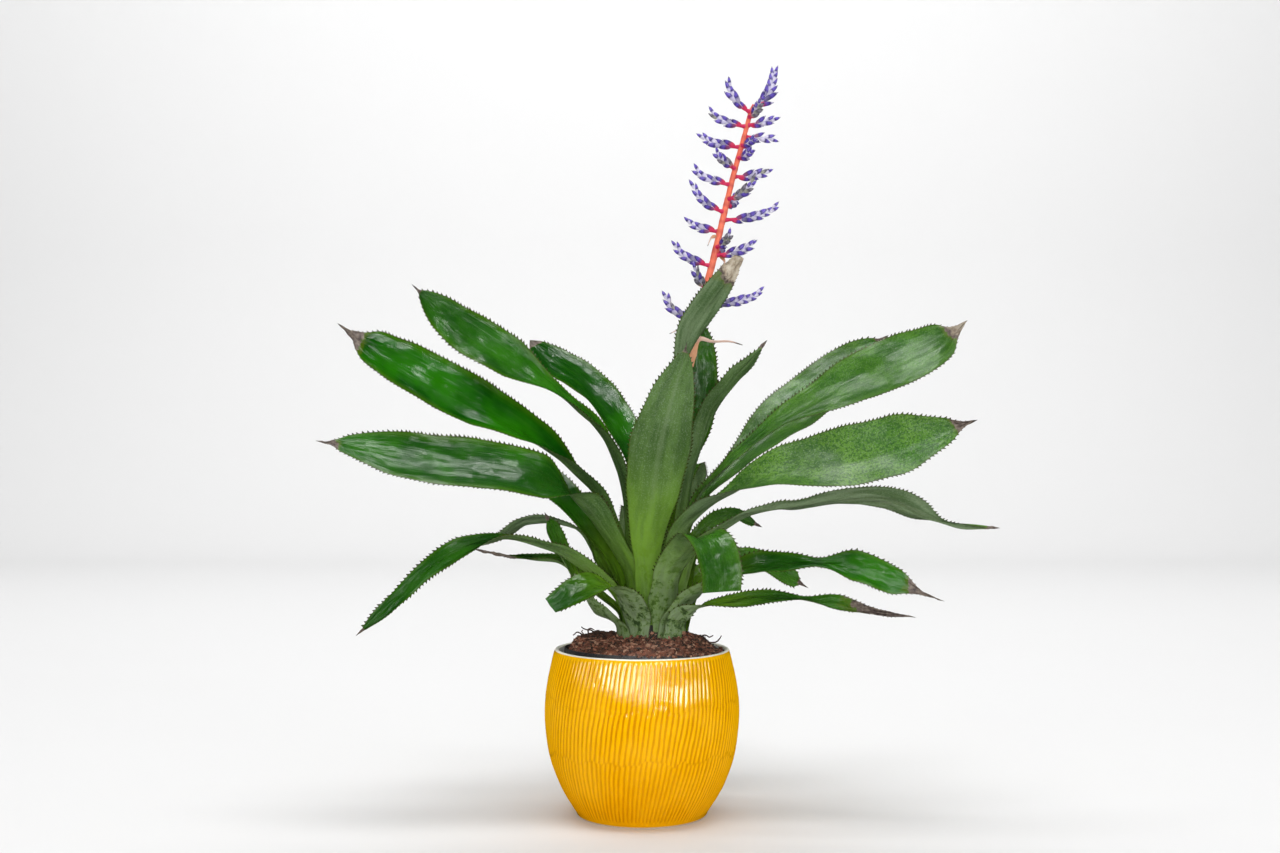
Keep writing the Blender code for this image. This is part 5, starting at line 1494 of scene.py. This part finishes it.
def build_leaf(leaf, settings, finish):
    """One strap leaf with two skins, a thin margin and a row of small spines on each side."""
    sheet, shares, length, sheath_share, dryness, tip = leaf_sheet(leaf)
    across = np.linspace(-1, 1, LEAF_CELLS + 1)
    half = 0.5 * settings.thickness * (1 - MARGIN_THINNING * np.abs(across) ** 4)
    points, faces, normals = two_skins(sheet, half[None, :, None])
    count = sheet.shape[0] * sheet.shape[1]
    end = count - LEAF_CELLS - 1
    far = end + LEAF_CELLS
    faces += [(a, count + a, count + a + 1, a + 1) for a in range(LEAF_CELLS)]
    if leaf.cut:
        faces += [(a, a + 1, count + a + 1, count + a) for a in range(end, far)]
    else:
        peak = len(points)
        points.append(tuple(tip))
        for a in range(end, far):
            faces += [(a, a + 1, peak), (count + a + 1, count + a, peak)]
        faces += [(end, peak, count + end), (far, count + far, peak)]

    arcs = np.array(shares) * length
    sheath = [1 - smooth((arc - PALE_FROM - 0.6 * leaf.lime) / (PALE_RUN + leaf.lime))
              for arc in arcs]
    aged = [leaf.age * (1 - smooth((arc - AGED_FROM) / AGED_RUN)) for arc in arcs]
    marks = blade_marks(shares, across) | {
        "upper": np.repeat([1.0, 0.0], count),
        "dry": np.tile((dryness[:, None] * (1 + DRY_SLANT * across)).ravel(), 2),
        "sheath": np.tile(np.repeat(sheath, len(across)), 2),
        "aged": np.concatenate([np.zeros(count), np.repeat(aged, len(across))]),
        "spine": np.zeros(2 * count),
    }
    tips = len(points) - 2 * count
    marks = {label: list(values) + [TIP_MARKS[label]] * tips for label, values in marks.items()}
    add_spines(leaf, settings, (sheet, normals, arcs, dryness), sheath_share * length,
               points, faces, marks)
    for label, value in (("scurf", leaf.scurf), ("bleach", leaf.bleach),
                         ("kind", (leaf.rank * 0.37 + len(leaf.name) * 0.61) % 3.0)):
        marks[label] = [value] * len(points)
    piece(leaf.name + "_blade", points, faces, finish, (leaf.name,), marks)


def add_spines(leaf, settings, blade, sheath_length, points, faces, marks):
    """Adds small forward-pointing spines along both margins."""
    sheet, normals, arcs, dryness = blade
    rng = random.Random(leaf.name)
    last = len(arcs) - 1
    for edge, inner in ((0, 2), (LEAF_CELLS, LEAF_CELLS - 2)):
        arc = 1.15 * sheath_length
        while True:
            arc += settings.spine_pitch * rng.uniform(0.80, 1.20)
            if arc > arcs[-1] - 0.004:
                break
            spot = float(np.interp(arc, arcs, range(last + 1)))
            row = min(int(spot), last - 1)
            before, after = Vector(sheet[row, edge]), Vector(sheet[row + 1, edge])
            foot = before.lerp(after, spot - row)
            along = (after - before).normalized()
            outward = before - Vector(sheet[row, inner])
            outward = (outward - along * outward.dot(along)).normalized()
            normal = Vector(normals[row, edge])
            long = settings.spine_length * rng.uniform(0.80, 1.10) * (1 - 0.6 * dryness[row])
            root = foot - outward * SPINE_SINK
            peak = foot + outward * long + along * long * rng.uniform(0.45, 0.9)
            start = len(points)
            points += [tuple(spot) for spot in (
                root - along * 0.60 * long, root + normal * SPINE_HALF,
                root + along * 0.75 * long, root - normal * SPINE_HALF, peak)]
            faces += [(start + a, start + b, start + 4) for a, b in SPINE_SIDES]
            for label, value in (("along", arc / arcs[-1]), ("across", 1.0), ("upper", 1.0),
                                 ("dry", float(dryness[row])), ("sheath", 0.0), ("aged", 0.0)):
                marks[label] += [value] * 5
            marks["spine"] += [0.35, 0.35, 0.35, 0.35, 1.0]


def scape_place(height):
    """Centre and radius of the flower stalk at a height."""
    table = [(z * MM, x * MM) for z, x in SCAPE_PATH]
    low, high = table[0][0], table[-1][0]
    radius = read_table(SCAPE_RADII, (height - low) / (high - low))
    return Vector((read_table(table, height), 0.0, height)), radius


def build_scape(settings):
    """The main flower stalk, swollen a little below each joint."""
    joints = [height * MM for _, height, _ in BRANCHES]
    low, high = SCAPE_PATH[0][0] * MM, SCAPE_PATH[-1][0] * MM
    middles, radii, redness = [], [], []
    for row in range(SCAPE_ROWS):
        height = low + (high - low) * row / (SCAPE_ROWS - 1)
        middle, radius = scape_place(height)
        near = min(abs(height - joint + 0.001) for joint in joints)
        swell = smooth(1 - near / JOINT_REACH)
        radius *= 0.15 + 0.85 * smooth((high - height) / SCAPE_END)
        middles.append(middle)
        stray = 0.03 * noise_at(height * 90, 2.0, 1.0)
        radii.append(radius * (1 + JOINT_SWELL * swell + stray))
        redness.append(JOINT_REDNESS * smooth(1 - near / JOINT_RED_REACH))
    points, faces = tube(middles, radii, SCAPE_SIDES)
    marks = {
        "across": np.tile(np.linspace(0, 2, SCAPE_SIDES, endpoint=False), SCAPE_ROWS),
        "joint": np.repeat(redness, SCAPE_SIDES),
    }
    piece("flower_stalk", points, faces, stalk_finish(settings), ("scape",), marks)


def branch_points(height, tip, floret_length):
    """Stalk of a flower branch: out from the main stalk, then bending up to its tip."""
    centre, radius = scape_place(height * MM)
    tip = Vector(tip) * MM
    level = Vector((tip.x - centre.x, tip.y - centre.y, 0.0))
    outward = level.normalized()
    start = centre + outward * (radius - STALK_SINK)
    rise = tip.z - start.z
    one, two = [start + outward * level.length * out + Vector((0, 0, rise * up))
                for out, up in STALK_BENDS]
    end = tip - (tip - two).normalized() * floret_length * 0.48
    return [start, one, two, end]


def floret(root, direction, across, length, width, start):
    """A boat-shaped, pointed floret: flattened rings, widest below the middle, bent outwards. Gives
    its points and faces, and the marks bloom and across of its points."""
    across = (across - direction * across.dot(direction)).normalized()
    thick = direction.cross(across)
    points, bloom, turns = [], [], []
    for share, wide in FLORET_RINGS:
        middle = root + direction * length * share + across * length * FLORET_BEND * share * share
        for side, (x, y) in enumerate(ring(1.0, FLORET_SIDES)):
            keel = 1.0 + FLORET_KEEL * max(0.0, x) ** 4
            points.append(middle + across * width * wide * FLORET_FLATNESS * x * keel
                          + thick * width * wide * y)
            bloom.append(share)
            turns.append(side / FLORET_SIDES)
    return points, tube_faces(len(FLORET_RINGS), FLORET_SIDES, start), bloom, turns


def build_branch(name, height, tip, settings, finish):
    """One flower branch: a crimson stalk with two rows of overlapping, banded florets."""
    rng = random.Random(name)
    middles = branch_points(height, tip, settings.floret_length)
    line, shares, length = path_samples(middles, STALK_ROWS)
    thickness = [1.35 - 0.75 * share + 0.5 * smooth(1 - share / 0.10) for share in shares]
    points, faces = tube(line, [STALK_RADIUS * share for share in thickness], STALK_SIDES)
    crimson = [1 - smooth((share - STALK_CRIMSON) / 0.10) for share in shares]
    marks = {
        "bloom": [0.0] * len(points),
        "foot": list(np.repeat(crimson, STALK_SIDES)),
        "across": list(np.tile(np.linspace(0, 1, STALK_SIDES, endpoint=False), STALK_ROWS)),
        "withered": [0.0] * len(points),
        "lower": [0.0] * len(points),
    }
    spread = TOP_SPREAD if name == TOP_BRANCH else 1.0
    aged = WITHERED_FRONT if "front" in name else WITHERED_SHARE
    count = max(3, int(length * spread / settings.floret_pitch))
    first = 0.06 if length < 0.02 else 0.16
    last_row = STALK_ROWS - 1
    for index in range(count + 1):
        done = index / count
        spot = (first + (1 - first) * index / count) * last_row
        row = min(int(spot), last_row - 1)
        middle = line[row].lerp(line[row + 1], spot - row)
        along = (line[row + 1] - line[row]).normalized()
        hand = 1 if index % 2 else -1
        across = along.cross(Vector((0.15, 1.0, 0.1))).normalized() * hand
        closing = 1 - 0.90 * done**1.5
        lean = 0.0
        if index < count:
            lean = (FLORET_LEAN + rng.uniform(-0.07, 0.12)) * spread * closing
        stray = Vector((0, rng.uniform(-FLORET_STRAY, FLORET_STRAY), 0))
        tilt = Vector((0, -0.20 * hand, 0.10)) + stray
        direction = (along + across * lean + tilt * closing * (index < count)).normalized()
        size = (1.0 - FLORET_SHRINK * done) * rng.uniform(0.88, 1.10)
        if index < 2:
            size *= 0.85
        root = middle - direction * FLORET_SINK + across * 0.0007 * spread
        more, extra, blooms, turns = floret(
            root, direction, across, settings.floret_length * size * spread**0.3,
            settings.floret_width * size, len(points))
        points += more
        faces += extra
        shift = rng.uniform(-0.05, 0.05)
        reddened = (1.0, 0.30)[index] if index < 2 else 0.0
        marks["bloom"] += [value + shift * (0.1 < value < 0.8) for value in blooms]
        marks["foot"] += [reddened * (1 - smooth((value - 0.22) / 0.25)) for value in blooms]
        marks["across"] += turns
        marks["withered"] += [float(rng.random() < aged)] * len(blooms)
        marks["lower"] += [0.95 * (1 - smooth((done - 0.12) / 0.45))] * len(blooms)
    piece(name + "_florets", points, faces, finish, (name,), marks, 70)


def build_bract(name, half, height, table, finish):
    """A thin, curled dry bract on the stalk, narrowing to a frayed thread."""
    own = metres(table)
    centre, radius = scape_place(height * MM)
    outward = Vector((own[0].x - centre.x, own[0].y, 0.0)).normalized()
    line, shares, _ = path_samples([centre + outward * radius] + own, BRACT_ROWS)
    places = np.linspace(-1, 1, BRACT_CELLS + 1)
    sheet = np.zeros((BRACT_ROWS, BRACT_CELLS + 1, 3))
    for index, (middle, share) in enumerate(zip(line, shares)):
        along = heading(line, index)
        side = along.cross(Vector((0.2, 1.0, 0.1))).normalized()
        face = side.cross(along)
        width = half * MM * read_table(BRACT_WIDTHS, share)
        width *= 1 + BRACT_STRAY * noise_at(share * 9, half, 3.0)
        for column, across in enumerate(places):
            hollow = BRACT_HOLLOW * width * (1 - across * across)
            crease = BRACT_CREASE * noise_at(share * 14, across * 2.2, half)
            sheet[index, column] = middle + side * width * across - face * (hollow + crease)
    points, faces, _ = two_skins(sheet, BRACT_HALF)
    marks = blade_marks(shares, places)
    piece(name + "_paper", points, faces, finish, (name,), marks, 60)


def area_light(name, place, aim, size, brightness, gloss=False):
    """A flat panel that faces its aim; its power follows from its brightness and its size. It
    lights surfaces, or shows only in their gloss."""
    data = bpy.data.lights.new(name, "AREA")
    data.shape = "RECTANGLE"
    data.size, data.size_y = size
    data.energy = math.pi * size[0] * size[1] * brightness
    item = add_object(name, data)
    item.location = place
    item.rotation_euler = (Vector(aim) - Vector(place)).to_track_quat("-Z", "Y").to_euler()
    item.visible_diffuse = not gloss
    item.visible_glossy = gloss


def floor_profile():
    """Rows y, z of the floor from front to back: level, a quarter turn up, then the wall."""
    run = FLOOR_BACK - FLOOR_FRONT
    line = [(FLOOR_FRONT + run * step / FLOOR_STEPS, 0.0) for step in range(FLOOR_STEPS + 1)]
    for step in range(1, FLOOR_STEPS + 1):
        turn = step / FLOOR_STEPS * math.pi / 2
        line.append((FLOOR_BACK + FLOOR_BEND * math.sin(turn), FLOOR_BEND * (1 - math.cos(turn))))
    rise = WALL_TOP - FLOOR_BEND
    wall = [FLOOR_BEND + rise * step / (FLOOR_STEPS - 1) for step in range(1, FLOOR_STEPS)]
    return line + [(FLOOR_BACK + FLOOR_BEND, height) for height in wall]


def build_floor(settings):
    """The pale floor that sweeps up into a wall."""
    line = floor_profile()
    points = [(2 * FLOOR_HALF * cell / FLOOR_CELLS - FLOOR_HALF, y, z)
              for y, z in line for cell in range(FLOOR_CELLS + 1)]
    mesh = bpy.data.meshes.new("floor_sweep")
    mesh.from_pydata(points, [], grid_faces(len(line), FLOOR_CELLS + 1))
    mesh.materials.append(floor_finish(settings))
    mesh.shade_smooth()
    floor = add_object("floor_sweep", mesh)
    floor.visible_glossy = False


def build_light(settings):
    """Soft lights, the panels that show in the gloss, and the even light all round."""
    for name, place, aim, size, setting, share in SOFT_LIGHTS:
        area_light(name, place, aim, size, share * getattr(settings, setting))
    for name, x, y, width, share in SHINE_PANELS:
        area_light(name + "_shine", (x, y, SHINE_HEIGHT), SHINE_AIM, (width, SHINE_TALL),
                   settings.shine * share, gloss=True)
    for index, (x, y) in enumerate(ROOF_PANELS):
        area_light(f"roof_shine_{index + 1}", (x, y, ROOF_HEIGHT), (x, y, 0.0), ROOF_PANEL_SIZE,
                   settings.roof, gloss=True)
    world = bpy.data.worlds.new("white_room")
    world.use_nodes = True
    sky = world.node_tree.nodes["Background"]
    sky.inputs["Color"].default_value = (1.0, 1.0, 1.0, 1.0)
    sky.inputs["Strength"].default_value = settings.sky
    bpy.context.scene.world = world
    world.cycles_visibility.glossy = False
    bpy.context.scene.view_settings.view_transform = "Standard"


def build_camera():
    """The camera, where the photograph was taken from."""
    data = bpy.data.cameras.new("camera")
    data.lens = CAMERA_LENS
    data.sensor_width = CAMERA_SENSOR
    camera = add_object("camera", data)
    camera.location = CAMERA_PLACE
    camera.rotation_euler = (CAMERA_PITCH, 0.0, 0.0)
    bpy.context.scene.camera = camera


class AECHMEA_OT_pot(bpy.types.Operator):
    """Builds the ceramic pot and the grower pot in it"""

    bl_idname = "aechmea.pot"
    bl_label = "Pots"

    def execute(self, context):
        settings = context.scene.aechmea_pot
        build_pot(settings)
        build_liner(settings)
        return {"FINISHED"}


class AECHMEA_OT_soil(bpy.types.Operator):
    """Builds the soil with its crumbs, bark and roots"""

    bl_idname = "aechmea.soil"
    bl_label = "Soil"

    def execute(self, context):
        settings = context.scene.aechmea_soil
        finish = soil_finish(settings)
        build_bed(finish)
        build_crumbs(settings, finish)
        build_roots(finish)
        return {"FINISHED"}


class AECHMEA_OT_leaves(bpy.types.Operator):
    """Builds the strap leaves and finishes the stem that they nest round"""

    bl_idname = "aechmea.leaves"
    bl_label = "Leaves"

    def execute(self, context):
        settings = context.scene.aechmea_leaves
        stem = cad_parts["stem"]
        stem.data.materials.clear()
        stem.data.materials.append(stem_finish())
        finish = leaf_finish(settings)
        for leaf in LEAVES:
            build_leaf(leaf, settings, finish)
        return {"FINISHED"}


class AECHMEA_OT_flower(bpy.types.Operator):
    """Builds the flower stalk, its branches of florets and its dry bracts"""

    bl_idname = "aechmea.flower"
    bl_label = "Flower"

    def execute(self, context):
        settings = context.scene.aechmea_flower
        build_scape(settings)
        florets = floret_finish(settings)
        for row in BRANCHES:
            build_branch(*row, settings, florets)
        paper = bract_finish(settings)
        for row in BRACTS:
            build_bract(*row, paper)
        return {"FINISHED"}


class AECHMEA_OT_stage(bpy.types.Operator):
    """Adds the pale floor, the soft light and the camera"""

    bl_idname = "aechmea.stage"
    bl_label = "Stage"

    def execute(self, context):
        settings = context.scene.aechmea_stage
        build_floor(settings)
        build_light(settings)
        build_camera()
        return {"FINISHED"}


class AECHMEA_PT_panel(bpy.types.Panel):
    """Lists the pieces and their sizes and colours"""

    bl_idname = "AECHMEA_PT_panel"
    bl_label = "Potted aechmea"
    bl_space_type = "VIEW_3D"
    bl_region_type = "UI"
    bl_category = "Aechmea"

    def draw(self, context):
        for operator, name, _ in PARTS:
            box = self.layout.box()
            box.operator(operator.bl_idname)
            settings = getattr(context.scene, name)
            for label in settings.bl_rna.properties.keys():
                if label not in {"rna_type", "name"}:
                    box.prop(settings, label)


# Operators, the names of their settings in the scene, and the settings
PARTS = (
    (AECHMEA_OT_pot, "aechmea_pot", AechmeaPotSettings),
    (AECHMEA_OT_soil, "aechmea_soil", AechmeaSoilSettings),
    (AECHMEA_OT_leaves, "aechmea_leaves", AechmeaLeafSettings),
    (AECHMEA_OT_flower, "aechmea_flower", AechmeaFlowerSettings),
    (AECHMEA_OT_stage, "aechmea_stage", AechmeaStageSettings),
)


def register():
    """Adds the settings, the operators and the panel."""
    for operator, name, group in PARTS:
        bpy.utils.register_class(group)
        setattr(bpy.types.Scene, name, PointerProperty(type=group))
        bpy.utils.register_class(operator)
    bpy.utils.register_class(AECHMEA_PT_panel)


def unregister():
    """Takes out what register added, in reverse."""
    bpy.utils.unregister_class(AECHMEA_PT_panel)
    for operator, name, group in reversed(PARTS):
        bpy.utils.unregister_class(operator)
        delattr(bpy.types.Scene, name)
        bpy.utils.unregister_class(group)


def main():
    """Builds the plant and its stage."""
    register()
    bpy.ops.aechmea.pot()
    bpy.ops.aechmea.soil()
    bpy.ops.aechmea.leaves()
    bpy.ops.aechmea.flower()
    bpy.ops.aechmea.stage()


if __name__ == "__main__":
    main()
